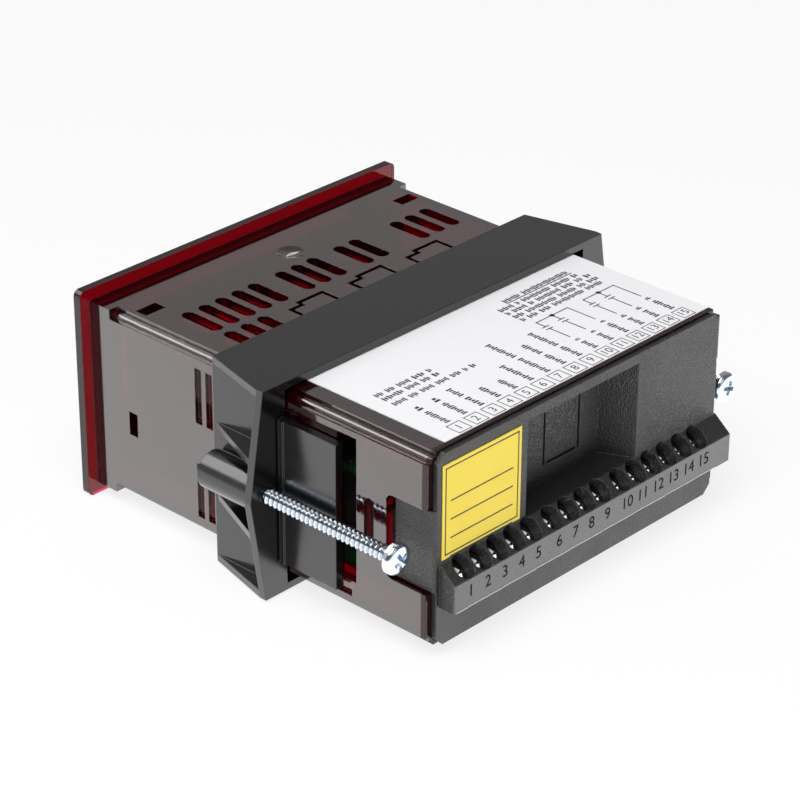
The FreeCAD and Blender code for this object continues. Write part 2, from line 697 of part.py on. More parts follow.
def cut_case_sides(body):
    """Openings through both side walls, and the shallow latching recesses outside them."""
    openings = sketch_at(body, "YZ", "0", "side_openings")
    rectangle(openings, ("side_slot_front", "side_slot_front + side_slot_width"),
              ("side_slot_top - side_slot_height", "side_slot_top"))
    rectangle(openings, ("side_window_front", "side_window_front + side_window_width"),
              ("side_window_bottom", "side_window_top"))
    rectangle(openings, ("notch_front", "case_length + case_wall"), ("-notch_height / 2", "notch_height / 2"))
    opened = pocket(body, openings, None, 0)
    inner = []
    for up in (sheet.notch_height / 2, -sheet.notch_height / 2):
        inner += edges_where(opened.Shape, lambda p: abs(p.y - sheet.notch_front) + abs(p.z - up) < 1e-6)
    fillet(body, opened, inner, "notch_round")
    hooks = sketch_at(body, "YZ", "0", "hook_slots")
    obround(hooks, "hook_slot_front + hook_slot_width / 2", "-hook_slot_height / 2", "hook_slot_height / 2",
            "hook_slot_width")
    pocket(body, hooks, None, 0)
    for side, sign in SIDES:
        shallow = sketch_at(body, "YZ", f"{sign} * {CASE_HALF}", f"window_pocket_{side}")
        top = "(side_window_bottom - window_pocket_gap)"
        rectangle(shallow, ("side_window_front", "side_window_front + window_pocket_width"),
                  (f"{top} - window_pocket_height", top))
        pocket(body, shallow, "ratchet_depth", -sign)
        recess = sketch_at(body, "YZ", f"{sign} * {CASE_HALF}", f"ratchet_{side}")
        along = ("ratchet_front", "ratchet_front + ratchet_width")
        rectangle(recess, along, ("ratchet_inner", "ratchet_outer"))
        rectangle(recess, along, ("-ratchet_outer", "-ratchet_inner"))
        first = pocket(body, recess, "ratchet_depth", -sign)
        repeat_along(body, first, "Y_Axis", f"ratchet_pitch * {RATCHET_STEPS - 1}", RATCHET_STEPS)


def cut_case_front(body):
    """Recess for the front film and the three key openings."""
    film = sketch_at(body, "XZ", "-bezel_depth", "overlay_recess")
    rectangle(film, ("-overlay_width / 2", "overlay_width / 2"),
              ("-overlay_height / 2", "overlay_height / 2"))
    pocket(body, film, "overlay_recess", 1)
    holes = sketch_at(body, "XZ", "-bezel_depth", "key_openings")
    key_rectangles(holes)
    pocket(body, holes, "front_wall", 1)


# Front film and keys

KEYS = (("left", 1), ("middle", 0), ("right", -1))


def key_span(place, spare):
    """X and Z limits of a key, with some spare all round."""
    centre = f"{place} * key_pitch"
    across = (f"{centre} - key_width / 2 - {spare}", f"{centre} + key_width / 2 + {spare}")
    up = (f"-key_drop - key_height / 2 - {spare}", f"-key_drop + key_height / 2 + {spare}")
    return across, up


def key_rectangles(sketch):
    """The three key openings."""
    for name, place in KEYS:
        rectangle(sketch, *key_span(place, "key_clear"))


def make_overlay():
    """Film on the front with a display window and key openings."""
    body = new_body("front_overlay")
    film = sketch_at(body, "XZ", "overlay_recess - bezel_depth", "film_outline")
    half_width = "overlay_width / 2 - key_clear"
    half_height = "overlay_height / 2 - key_clear"
    rectangle(film, (f"-({half_width})", half_width), (f"-({half_height})", half_height))
    rectangle(film, ("-view_width / 2", "view_width / 2"),
              ("view_centre - view_height / 2", "view_centre + view_height / 2"))
    key_rectangles(film)
    pad(body, film, "overlay_thick", -1)
    return finish(body, "front_overlay")


def make_key(name, place):
    """A key: its cap through the window, a collar that keeps it in, and a stem behind."""
    across, up = key_span(place, "0")
    cap = box(f"key_{name}_cap", across, ("-bezel_depth - key_proud", f"{WINDOW_INSIDE} + key_clear"), up)
    wide, tall = key_span(place, "key_collar")
    seat = f"({WINDOW_INSIDE} + key_clear / 2)"
    collar = box(f"key_{name}_collar", wide, (seat, f"{seat} + key_collar_thick"), tall)
    narrow, short = key_span(place, "-key_height / 4")
    stem = box(f"key_{name}_stem", narrow, (seat, f"{WINDOW_INSIDE} + key_stem"), short)
    return finish(fuse(f"key_{name}", cap, collar, stem), f"key_{name}")


# Display, boards and what they carry


def make_display():
    """Display board with digits, indicator lamps and key switches."""
    board = box("display_plate", ("-display_width / 2", "display_width / 2"), ("display_back", DISPLAY_REAR),
                ("-display_height / 2", "display_height / 2"))
    finish(board, "display_board")
    digits = []
    for i in range(DIGITS):
        centre = f"({(DIGITS - 1) / 2 - i} * digit_pitch)"
        digits.append(box(f"digit_{i}", (f"{centre} - digit_width / 2", f"{centre} + digit_width / 2"),
                          ("display_back - digit_depth", "display_back"),
                          ("view_centre - digit_height / 2", "view_centre + digit_height / 2")))
    group("digit_modules", digits)
    lamps = []
    for side, sign in SIDES:
        place = (f"{sign} * led_offset", "display_back", "view_centre")
        lamps.append(drum(f"lamp_{side}", "led_radius", "led_length", place, "90"))
    group("annunciator_leds", lamps)
    switches = []
    pressed = f"({WINDOW_INSIDE} + key_stem + key_travel + switch_gap)"
    for name, place in KEYS:
        centre = f"{place} * key_pitch"
        switches.append(box(f"switch_{name}",
                            (f"{centre} - switch_size / 2", f"{centre} + switch_size / 2"),
                            (pressed, "display_back"),
                            ("-key_drop - switch_size / 2", "-key_drop + switch_size / 2")))
    group("key_switches", switches)


def on_board(name, base, centre, back, width, length, height):
    """Block standing on a board, centred across it, with its front edge at back."""
    return box(name, (f"{centre} - {width} / 2", f"{centre} + {width} / 2"), (back, f"{back} + {length}"),
               (base, f"{base} + {height}"))


def make_boards():
    """Main board with the power parts, signal board above it, and their connectors."""
    half = ("-board_width / 2", "board_width / 2")
    finish(box("main_plate", half, (DISPLAY_REAR, COVER_INSIDE), ("main_level", MAIN_TOP)), "main_board")
    upper = box("signal_plate", half, (DISPLAY_REAR, PLUG_FRONT), ("signal_level", SIGNAL_TOP))
    finish(upper, "signal_board")
    link = on_board("link_block", MAIN_TOP, "0", "link_back", "link_width", "link_thick",
                    f"(signal_level - {MAIN_TOP})")
    finish(link, "board_link")
    ribbon = on_board("ribbon_block", MAIN_TOP, "0", DISPLAY_REAR, "ribbon_width", "ribbon_depth",
                      "ribbon_height")
    finish(ribbon, "display_link")
    make_transformer()
    for i, name in enumerate(("one", "two")):
        centre = f"(relay_first - {i} * relay_pitch)"
        relay = on_board(f"relay_{name}_can", MAIN_TOP, centre, "relay_back", "relay_width", "relay_length",
                         "relay_height")
        finish(relay, f"relay_{name}")
    bulk = drum("bulk_can", "bulk_radius", "bulk_length", ("bulk_offset", "bulk_back", MAIN_TOP))
    finish(bulk, "bulk_capacitor")
    small = []
    for i in range(SMALL_CAPS):
        place = (f"small_cap_first - {i} * small_cap_pitch", "small_cap_back", MAIN_TOP)
        small.append(drum(f"small_can_{i}", "small_cap_radius", "small_cap_length", place))
    group("output_capacitors", small)
    logic = on_board("logic_body", SIGNAL_TOP, "logic_offset", "logic_back", "logic_size", "logic_size",
                     "logic_thick")
    finish(logic, "logic_chip")
    sampler = on_board("input_body", SIGNAL_TOP, "input_offset", "input_back", "input_width", "input_length",
                       "input_thick")
    finish(sampler, "input_chip")


def make_transformer():
    """Core with two end limbs and the wound middle standing proud of it."""
    core = on_board("coil_core_block", MAIN_TOP, "coil_offset", "coil_back", "coil_width", "coil_length",
                    "coil_height")
    inner = "(coil_width - 2 * coil_core)"
    gap = box("coil_gap", (f"coil_offset - {inner} / 2", f"coil_offset + {inner} / 2"),
              ("coil_back", "coil_back + coil_length"),
              (f"{MAIN_TOP} + coil_core", f"{MAIN_TOP} + coil_height - coil_core"))
    start = ("coil_offset", "coil_back - coil_winding_proud", f"{MAIN_TOP} + coil_height / 2")
    winding = cylinder("coil_turns", "coil_winding", "coil_length + 2 * coil_winding_proud", start, "-90")
    finish(fuse("coil", cut("coil_frame", core, gap), winding), "power_transformer")


# Rear cover


def make_rear_cover():
    """Flange, plug, recess, terminal block and finger tabs in one moulding."""
    body = new_body("rear_cover")
    flange = sketch_at(body, "XZ", "case_length", "cover_flange_outline")
    chamfered(flange, "cover_width / 2", f"-{CASE_TOP}", f"({CASE_TOP} - cover_top_drop)", "cover_chamfer")
    pad(body, flange, "cover_flange", 1)
    plug = sketch_at(body, "XZ", "case_length", "plug_outline")
    chamfered(plug, PLUG_HALF, f"-{PLUG_TOP}", PLUG_TOP, "cavity_chamfer")
    pad(body, plug, "plug_depth", -1)

    block = sketch_at(body, "YZ", "block_offset", "block_profile")
    polygon(block, (("case_length", "block_bottom"), (BLOCK_REAR, "block_bottom"),
                    (BLOCK_REAR, "recess_floor - slope_drop"), (REAR_FACE, "recess_floor"),
                    ("case_length", "recess_floor")))
    pad(body, block, "block_width", 0)

    for side, sign in SIDES:
        finger = sketch_at(body, "YZ", f"{sign} * {PLUG_HALF}", f"finger_{side}")
        rectangle(finger, ("finger_front", REAR_FACE), ("-finger_height / 2", "finger_height / 2"))
        tab = pad(body, finger, f"{CASE_HALF} - finger_sink - {PLUG_HALF}", sign)
        face = sign * (sheet.case_width / 2 - sheet.finger_sink)
        rear = sheet.case_length + sheet.cover_flange
        corner = edges_where(tab.Shape, lambda p: abs(p.x - face) + abs(p.y - rear) < 1e-6)
        fillet(body, tab, corner, "finger_round")
        arm = sketch_at(body, "YZ", f"{sign} * {PLUG_HALF}", f"arm_{side}")
        rectangle(arm, ("arm_front", f"{PLUG_FRONT} + cover_wall"), ("-arm_height / 2", "arm_height / 2"))
        pad(body, arm, "cover_wall", -sign)

    hollow = sketch_at(body, "XZ", PLUG_FRONT, "cover_hollow")
    inside_top = f"({PLUG_TOP} - cover_wall)"
    chamfered(hollow, f"({PLUG_HALF} - cover_wall)", f"-{inside_top}", inside_top, "cavity_chamfer")
    pocket(body, hollow, f"{COVER_INSIDE} - {PLUG_FRONT}", 1)

    wall = sketch_at(body, "XY", "recess_floor - cover_wall", "recess_walls")
    trapezoid(wall, "(recess_root / 2 + cover_wall)", f"({RECESS_BACK} - cover_wall)",
              "(recess_mouth / 2 + cover_wall)", COVER_INSIDE)
    pad(body, wall, f"{PLUG_TOP} - cover_wall / 2 - recess_floor + cover_wall", 1)
    recess = sketch_at(body, "XY", "recess_top", "recess_outline")
    trapezoid(recess, "(recess_root / 2)", RECESS_BACK, "(recess_mouth / 2)", f"({REAR_FACE} + cover_clear)")
    pocket(body, recess, "recess_top - recess_floor", -1)

    cut_knockout(body)
    cut_terminal_bay(body)
    return finish(body, "rear_cover")


def trapezoid(sketch, half_back, back, half_mouth, mouth):
    """Plan of the recess: narrow at its back, wide at its mouth."""
    polygon(sketch, ((f"-{half_back}", back), (half_back, back),
                     (half_mouth, mouth), (f"-{half_mouth}", mouth)))


def cut_knockout(body):
    """Two upright slits and one across their feet, in the recess's back wall."""
    slits = sketch_at(body, "XZ", RECESS_BACK, "knockout_slits")
    top = f"({PLUG_TOP} - cover_wall)"
    for sign in (1, -1):
        centre = f"(knockout_offset + {sign} * knockout_width / 2)"
        rectangle(slits, (f"{centre} - knockout_slit / 2", f"{centre} + knockout_slit / 2"),
                  ("knockout_base", top))
    reach = "(knockout_width / 2 - knockout_tie)"
    rectangle(slits, (f"knockout_offset - {reach}", f"knockout_offset + {reach}"),
              ("knockout_base", "knockout_base + knockout_slit"))
    pocket(body, slits, "cover_wall", -1)


def cut_terminal_bay(body):
    """Bay behind the terminal slope, its screwdriver holes and the wire entries below."""
    bay = sketch_at(body, "YZ", "block_offset", "terminal_bay")
    front = f"({COVER_INSIDE} - cover_clear)"
    rear = f"({BLOCK_REAR} - block_skin)"
    floor = "block_bottom + block_skin"
    roof = slope_height(REAR_FACE, "slope_skin")
    polygon(bay, ((front, floor), (rear, floor), (rear, slope_height(rear, "slope_skin")), (REAR_FACE, roof),
                  (front, "recess_floor - cover_wall - cover_clear")))
    cavity = body.newObject("PartDesign::Pocket", "terminal_bay_cut")
    cavity.Profile = bay
    cavity.SideType = "Symmetric"
    bind(cavity, "Length", "block_width - 2 * cover_wall")
    doc.recompute()

    holes = slope_sketch(body, "access_holes")
    for place in ALL_TERMINALS:
        obround(holes, place, "-access_length / 2 - access_shift", "access_length / 2 - access_shift",
                "access_width")
    pocket(body, holes, "slope_skin + housing_clear", -1)
    pocket(body, holes, "access_scallop", 1)

    entries = sketch_at(body, "XY", "block_bottom", "wire_entries")
    for place in ALL_TERMINALS:
        wire_rectangle(entries, place)
    pocket(body, entries, "block_skin", 1)


def wire_rectangle(sketch, place):
    """One wire entry in plan."""
    rectangle(sketch, (f"{place} - wire_width / 2", f"{place} + wire_width / 2"),
              (f"{REAR_FACE} + wire_back - wire_depth / 2", f"{REAR_FACE} + wire_back + wire_depth / 2"))


# Terminals


def make_terminal_block(name, places):
    """Terminal housing: a profile under the slope with a screw well and a wire entry for each way."""
    body = new_body(f"terminal_block_{name}")
    end = "(terminal_pitch / 2 + housing_end)"
    low = f"({places[-1]} - {end})"
    high = f"({places[0]} + {end})"
    rear = f"({BLOCK_REAR} - block_skin - housing_clear)"
    floor = "(block_bottom + block_skin + housing_clear)"
    roof = "(recess_floor - cover_wall - 2 * housing_clear)"
    sunk = "slope_skin + housing_clear"
    bend = f"({REAR_FACE} + (recess_floor - ({sunk}) / cos({SLOPE}) - {roof}) * slope_run / slope_drop)"
    profile = sketch_at(body, "YZ", low, f"housing_profile_{name}")
    polygon(profile, (("housing_front", MAIN_TOP), ("housing_foot", MAIN_TOP), ("housing_foot", floor),
                      (rear, floor), (rear, slope_height(rear, sunk)), (bend, roof), ("housing_front", roof)))
    pad(body, profile, f"{high} - {low}", 1)
    wells = slope_sketch(body, f"screw_wells_{name}")
    entries = sketch_at(body, "XY", floor, f"wire_entries_{name}")
    for place in places:
        rectangle(wells, (f"{place} - housing_well / 2", f"{place} + housing_well / 2"),
                  ("-housing_well / 2", "housing_well / 2"))
        wire_rectangle(entries, place)
    pocket(body, wells, "housing_well_depth", -1)
    pocket(body, entries, "wire_depth", 1)
    return finish(body, f"terminal_block_{name}")


def slope_box(name, place, across, along, depth, height):
    """Box square to the slope, standing on a plane at a depth under it."""
    item = doc.addObject("Part::Box", name)
    bind(item, "Length", across)
    bind(item, "Width", along)
    bind(item, "Height", height)
    middle, up = under_slope(depth)
    item.Placement.Rotation = FreeCAD.Rotation(FreeCAD.Vector(1, 0, 0), -1)
    bind(item, "Placement.Rotation.Angle", f"-{SLOPE}")
    bind(item, "Placement.Base.x", f"{place} - {across} / 2")
    bind(item, "Placement.Base.y", f"{middle} - {along} / 2 * cos({SLOPE})")
    bind(item, "Placement.Base.z", f"{up} + {along} / 2 * sin({SLOPE})")
    return item


def make_terminal_hardware():
    """A slotted screw and, under it, a clamp plate in every well, square to the slope."""
    screws = []
    clamps = []
    underside = "(terminal_head_depth + terminal_head_thick)"
    for i, place in enumerate(ALL_TERMINALS):
        head = drum(f"head_{i}", "terminal_head", "terminal_head_thick", (place, *under_slope(underside)),
                    f"-{SLOPE}")
        slot = slope_box(f"slot_{i}", place, "(2 * terminal_head)", "terminal_slot",
                         "terminal_head_depth + terminal_slot_depth", "2 * terminal_slot_depth")
        screws.append(cut(f"terminal_screw_{i}", head, slot))
        clamps.append(slope_box(f"wire_clamp_{i}", place, "clamp_size", "clamp_size",
                                f"{underside} + clamp_clear + clamp_thick", "clamp_thick"))
    group("terminal_screws", screws)
    group("wire_clamps", clamps)


# Panel latch and its screws


def make_latch():
    """Sleeve round the case, two wings with gussets and screw bosses, and two tongues."""
    body = new_body("panel_latch")
    sleeve = sketch_at(body, "XZ", "latch_front", "sleeve_section")
    rectangle(sleeve, (f"-{LATCH_SIDE}", LATCH_SIDE), (f"-{LATCH_TOP}", LATCH_TOP))
    inner_top = f"({LATCH_TOP} - latch_top_wall)"
    rectangle(sleeve, (f"-{LATCH_INNER}", LATCH_INNER), (f"-{inner_top}", inner_top))
    pad(body, sleeve, "latch_length", 1)

    plate_front = f"({LATCH_REAR} - wing_plate)"
    root = f"({LATCH_SIDE} - latch_side_wall / 2)"
    plates = sketch_at(body, "XZ", plate_front, "wing_plates")
    for side, sign in SIDES:
        polygon(plates, ((f"{sign} * {root}", f"-{LATCH_TOP}"),
                         (f"{sign} * ({LATCH_SIDE} + wing_reach)", f"-{LATCH_TOP}"),
                         (f"{sign} * ({LATCH_SIDE} + wing_point)", "0"),
                         (f"{sign} * ({LATCH_SIDE} + wing_reach)", LATCH_TOP),
                         (f"{sign} * {root}", LATCH_TOP)))
    pad(body, plates, "wing_plate", 1)

    for place, sign in (("top", 1), ("bottom", -1)):
        walls = sketch_at(body, "XY", f"{sign} * {LATCH_TOP}", f"wing_{place}")
        wing_webs(walls, root, "latch_front", "wing_reach")
        pad(body, walls, "latch_top_wall", -sign)
        webs = sketch_at(body, "XY", f"{sign} * gusset_offset - gusset_thick / 2", f"gusset_{place}")
        tip = f"(wing_point - (wing_point - wing_reach) * (gusset_offset + gusset_thick / 2) / {LATCH_TOP})"
        wing_webs(webs, root, "latch_front + gusset_setback", tip)
        pad(body, webs, "gusset_thick", 1)

    bosses = sketch_at(body, "XZ", "latch_front + boss_setback", "screw_bosses")
    holes = sketch_at(body, "XZ", "latch_front", "screw_holes")
    tongues = sketch_at(body, "XZ", LATCH_REAR, "tongues")
    ribs = sketch_at(body, "XZ", f"{LATCH_REAR} + root_rib_gap", "root_ribs")
    half = "tongue_height / 2"
    for side, sign in SIDES:
        circle(bosses, f"{sign} * {SCREW_OFFSET}", "0", "boss_radius")
        circle(holes, f"{sign} * {SCREW_OFFSET}", "0", "screw_radius + screw_clear")
        rectangle(tongues, (f"{sign} * {LATCH_INNER}", f"{sign} * {LATCH_SIDE}"), (f"-{half}", half))
        rectangle(ribs, (f"{sign} * {root}", f"{sign} * ({LATCH_SIDE} + root_rib_proud)"), (f"-{half}", half))
    pad(body, bosses, "latch_length - boss_setback - wing_plate / 2", 1)
    pad(body, tongues, "tongue_length", 1)
    pad(body, ribs, "root_rib", 1)
    pocket(body, holes, None, 0)
    return finish(body, "panel_latch")


def wing_webs(sketch, root, front, reach):
    """Plan of a wing's wall on both sides: flush with the side wall in front, out to reach behind."""
    rear = f"({LATCH_REAR} - wing_plate / 2)"
    for side, sign in SIDES:
        polygon(sketch, ((f"{sign} * {root}", front), (f"{sign} * {LATCH_SIDE}", front),
                         (f"{sign} * ({LATCH_SIDE} + {reach})", f"{LATCH_REAR} - wing_plate"),
                         (f"{sign} * ({LATCH_SIDE} + {reach})", rear), (f"{sign} * {root}", rear)))


def make_clamp_screw(side, sign):
    """Pan head screw with a cross recess, its thread left plain."""
    body = new_body(f"clamp_screw_{side}")
    profile = sketch_at(body, "XY", "0", f"screw_profile_{side}")
    polygon(profile, (("0", "-screw_length"), ("screw_radius - screw_point", "-screw_length"),
                      ("screw_radius", "screw_point - screw_length"), ("screw_radius", "0"),
                      ("screw_head", "0"), ("screw_head", "screw_head_rim"), ("screw_crown", "screw_head_height"),
                      ("0", "screw_head_height")))
    turned = body.newObject("PartDesign::Revolution", f"screw_turned_{side}")
    turned.Profile = profile
    turned.ReferenceAxis = (profile, ["V_Axis"])
    turned.Angle = 360
    doc.recompute()
    recess = sketch_at(body, "XZ", "screw_head_height", f"cross_{side}")
    arm = "cross_span / 2"
    half = "cross_width / 2"
    quarter = ((arm, half), (half, half), (half, arm))
    outline = []
    for across, up in ((1, 1), (-1, 1), (-1, -1), (1, -1)):
        points = [(f"{across} * {x}", f"{up} * {z}") for x, z in quarter]
        outline += points if across * up > 0 else points[::-1]
    polygon(recess, outline)
    pocket(body, recess, "cross_depth", -1)
    bind(body, "Placement.Base.x", f"{sign} * {SCREW_OFFSET}")
    bind(body, "Placement.Base.y", f"{LATCH_REAR} + screw_stand_{side}")
    return finish(body, f"clamp_screw_{side}")


# Labels


def make_labels():
    """Films on the case top and on the rear face."""
    top = box("top_film", ("top_label_right", "top_label_left"),
              ("top_label_front", "case_length - top_label_margin"), (CASE_TOP, f"{CASE_TOP} + label_thick"))
    finish(top, "top_label")
    rear = box("rear_film", ("rear_label_right", "rear_label_left"),
               (REAR_FACE, f"{REAR_FACE} + label_thick"),
               ("rear_label_bottom", "rear_label_top"))
    finish(rear, "rear_label")


def build():
    """Make every piece."""
    make_case()
    make_overlay()
    for name, place in KEYS:
        make_key(name, place)
    make_display()
    make_boards()
    make_rear_cover()
    for (name, count), places in zip(TERMINAL_GROUPS, TERMINALS):
        make_terminal_block(name, places)
    make_terminal_hardware()
    make_latch()
    for side, sign in SIDES:
        make_clamp_screw(side, sign)
    make_labels()
    doc.recompute()


def write():
    """Check every object, then write one file for each piece."""
    for item in doc.Objects:
        if "Invalid" in item.State or "Error" in item.State:
            raise ValueError(f"{item.Label} failed: {item.State}")
    for piece in pieces:
        if piece.Shape.isNull() or not piece.Shape.isValid():
            raise ValueError(f"{piece.Label} has no valid shape")
    os.makedirs("parts", exist_ok=True)
    for piece in pieces:
        piece.Shape.exportStep(f"parts/{piece.Label}.step")
        solids = piece.Shape.Solids
        print(f"{piece.Label}: {len(solids)} solid, {sum(solid.Volume for solid in solids):.1f} mm3")


build()
write()
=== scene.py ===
# %% [markdown]
# # Dressing a digital panel meter
# The meter is seen from behind: a case of smoked ruby plastic, a black clamp frame that slides along it, two
# long zinc plated screws, and a black rear cover with a row of screw terminals. The solids come from the CAD
# frame and keep their place. This lesson adds what the solids leave out: finishes, threads, print and light.

# %% Load the fixed frame
import json
import math

import bmesh
import bpy
from mathutils import Matrix, Vector


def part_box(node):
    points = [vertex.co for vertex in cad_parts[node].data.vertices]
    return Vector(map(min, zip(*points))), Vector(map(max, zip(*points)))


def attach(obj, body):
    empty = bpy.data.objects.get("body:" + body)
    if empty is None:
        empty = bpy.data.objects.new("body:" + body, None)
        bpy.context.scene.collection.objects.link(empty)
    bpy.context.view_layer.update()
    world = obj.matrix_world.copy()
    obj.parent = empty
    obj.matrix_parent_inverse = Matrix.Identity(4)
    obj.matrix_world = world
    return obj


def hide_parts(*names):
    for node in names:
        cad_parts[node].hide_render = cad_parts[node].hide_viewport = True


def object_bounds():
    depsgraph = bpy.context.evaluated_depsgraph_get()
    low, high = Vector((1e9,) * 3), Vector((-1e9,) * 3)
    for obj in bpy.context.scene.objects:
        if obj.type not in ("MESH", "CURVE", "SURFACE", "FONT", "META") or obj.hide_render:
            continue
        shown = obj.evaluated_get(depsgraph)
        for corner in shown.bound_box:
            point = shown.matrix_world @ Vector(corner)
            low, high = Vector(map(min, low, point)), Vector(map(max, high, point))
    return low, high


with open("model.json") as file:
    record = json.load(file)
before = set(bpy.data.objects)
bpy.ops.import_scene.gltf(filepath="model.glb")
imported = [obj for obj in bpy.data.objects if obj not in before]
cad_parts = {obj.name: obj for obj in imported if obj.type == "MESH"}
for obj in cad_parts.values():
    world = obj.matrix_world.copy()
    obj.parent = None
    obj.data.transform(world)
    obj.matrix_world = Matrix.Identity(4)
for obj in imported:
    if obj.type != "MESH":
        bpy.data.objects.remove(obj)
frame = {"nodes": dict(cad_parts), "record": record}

nodes = frame["nodes"]
cad_low, cad_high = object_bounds()
MM = 0.001
scene = bpy.context.scene
print("CAD box in mm:", [round(v / MM, 1) for v in cad_high - cad_low], "nodes:", len(nodes))

# %% [markdown]
# ## Camera
# The photograph was taken with a long lens from behind and above, over the corner at +X, +Y. A camera is set by
# where it aims, from which side, how far away it is and how long its lens is, so those are the values here.

# %% Camera at the photograph's angle
CAMERA_AIM = Vector((1.43, 48.95, -0.6)) * MM
CAMERA_AZIMUTH, CAMERA_ELEVATION, CAMERA_ROLL = map(math.radians, (133.24, 27.98, 0.318))
CAMERA_DISTANCE = 654.7 * MM
CAMERA_LENS = 137.06


def in_scene(name, data):
    """New object in the scene."""
    item = bpy.data.objects.new(name, data)
    scene.collection.objects.link(item)
    return item


def set_camera():
    """Camera on a sphere round the aim point, level apart from a slight roll."""
    flat = math.cos(CAMERA_ELEVATION)
    back = Vector((math.sin(CAMERA_AZIMUTH) * flat, -math.cos(CAMERA_AZIMUTH) * flat, math.sin(CAMERA_ELEVATION)))
    camera = in_scene("camera", bpy.data.cameras.new("camera"))
    camera.data.lens = CAMERA_LENS
    turn = (-back).to_track_quat("-Z", "Y").to_matrix() @ Matrix.Rotation(CAMERA_ROLL, 3, "Z")
    camera.matrix_world = Matrix.Translation(CAMERA_AIM + back * CAMERA_DISTANCE) @ turn.to_4x4()
    scene.camera = camera
    return camera


camera = set_camera()
print("camera at", [round(v, 3) for v in camera.matrix_world.translation])

# %% [markdown]
# ## Building with nodes
# Materials, the world and the later recipes are node trees. The main helper adds a node and feeds its inputs,
# with plain values or with the outputs of other nodes.

# %% Node helpers
WHITE = (1, 1, 1, 1)
BLACK = (0, 0, 0, 1)


def feed(tree, socket, value):
    """Set an input to a plain value, or join it to an output, the first one if a node is given."""
    if isinstance(value, bpy.types.Node):
        value = value.outputs[0]
    if isinstance(value, bpy.types.NodeSocket):
        tree.links.new(value, socket)
    else:
        socket.default_value = value


def add(tree, kind, *first, **values):
    """Add a node, its first inputs fed in order and others by name. A name that is no input is a setting."""
    node = tree.nodes.new(kind)
    for name, value in values.items():
        label = name.replace("_", " ").title().replace("Ior", "IOR")
        if label in node.inputs:
            feed(tree, node.inputs[label], value)
        else:
            setattr(node, name, value)
    for socket, value in zip(node.inputs, first):
        feed(tree, socket, value)
    return node


def formula(tree, operation, first, second):
    """Math node on two numbers, each plain or from a node."""
    return add(tree, "ShaderNodeMath", first, second, operation=operation)


def ramp(tree, value, low, high, start=0.0, stop=1.0):
    """Number that runs from low to high while a value runs from start to stop."""
    return add(tree, "ShaderNodeMapRange", value=value, from_min=start, from_max=stop, to_min=low, to_max=high)


def place_on(tree, kind="Object"):
    """Place on a piece, or another kind of coordinate."""
    return add(tree, "ShaderNodeTexCoord").outputs[kind]


def axes(tree, vector):
    """X, Y and Z sockets of a vector."""
    return add(tree, "ShaderNodeSeparateXYZ", vector).outputs


def new_material(name):
    """Empty material and its tree."""
    material = bpy.data.materials.new(name)
    material.use_nodes = True
    material.node_tree.nodes.clear()
    return material, material.node_tree


# %% [markdown]
# ## Light and floor
# The photograph is a product shot on a light table: the floor glows and shows in every upright face, the light
# from above is soft, and the far side of the room is darker, so the top faces stay dark. World and floor look
# plain white, and light the meter at their own level. The edge box shows only in gloss, as the band of light
# along the case's rounded edge.

# %% World, lamps and floor
FLOOR_LEVEL = cad_low.z
FLOOR_SIZE = 6.0
FLOOR_GLOW = 1.5
FLOOR_MATT = (0.95, 0.95, 0.95, 1)
FLOOR_WHITE_SHARE = 0.8
SHADOW_FADE = (0.2, 0.8)
SKY_DARK = 0.12
SKY_BRIGHT = 0.38
SKY_BRIGHT_SIDE = (-0.64, -0.61, 0.47)
SKY_TURN = 0.2
BACKDROP_TOP = 0.25
BACKDROP_FADE = 0.1

scene.view_settings.view_transform = "Standard"
world = bpy.data.worlds.new("tent")
scene.world = world
world.use_nodes = True


def seen_directly(tree, share=1.0):
    """One for rays from the camera, a share for rays through clear plastic, and else zero."""
    path = add(tree, "ShaderNodeLightPath").outputs
    through = formula(tree, "MULTIPLY", path["Is Transmission Ray"], share)
    return formula(tree, "MAXIMUM", path["Is Camera Ray"], through)


def light_world():
    """Soft room light, brighter on one side. The camera, and clear plastic low down, see white."""
    tree = world.node_tree
    tree.nodes.clear()
    way = place_on(tree, "Generated")
    facing = add(tree, "ShaderNodeVectorMath", way, SKY_BRIGHT_SIDE, operation="DOT_PRODUCT")
    room = ramp(tree, facing.outputs["Value"], SKY_DARK, SKY_BRIGHT, SKY_TURN)
    backdrop = ramp(tree, axes(tree, way)["Z"], 1.0, 0.0, BACKDROP_TOP, BACKDROP_TOP + BACKDROP_FADE)
    strength = ramp(tree, seen_directly(tree, backdrop), room, 1.0)
    add(tree, "ShaderNodeOutputWorld", add(tree, "ShaderNodeBackground", color=WHITE, strength=strength))


def add_lamp(name, place, power, size):
    """Square soft box that looks at the meter."""
    lamp = in_scene(name, bpy.data.lights.new(name, "AREA"))
    lamp.data.energy = power
    lamp.data.size = size
    toward = CAMERA_AIM - Vector(place)
    lamp.matrix_world = Matrix.Translation(place) @ toward.to_track_quat("-Z", "Y").to_matrix().to_4x4()
    return lamp


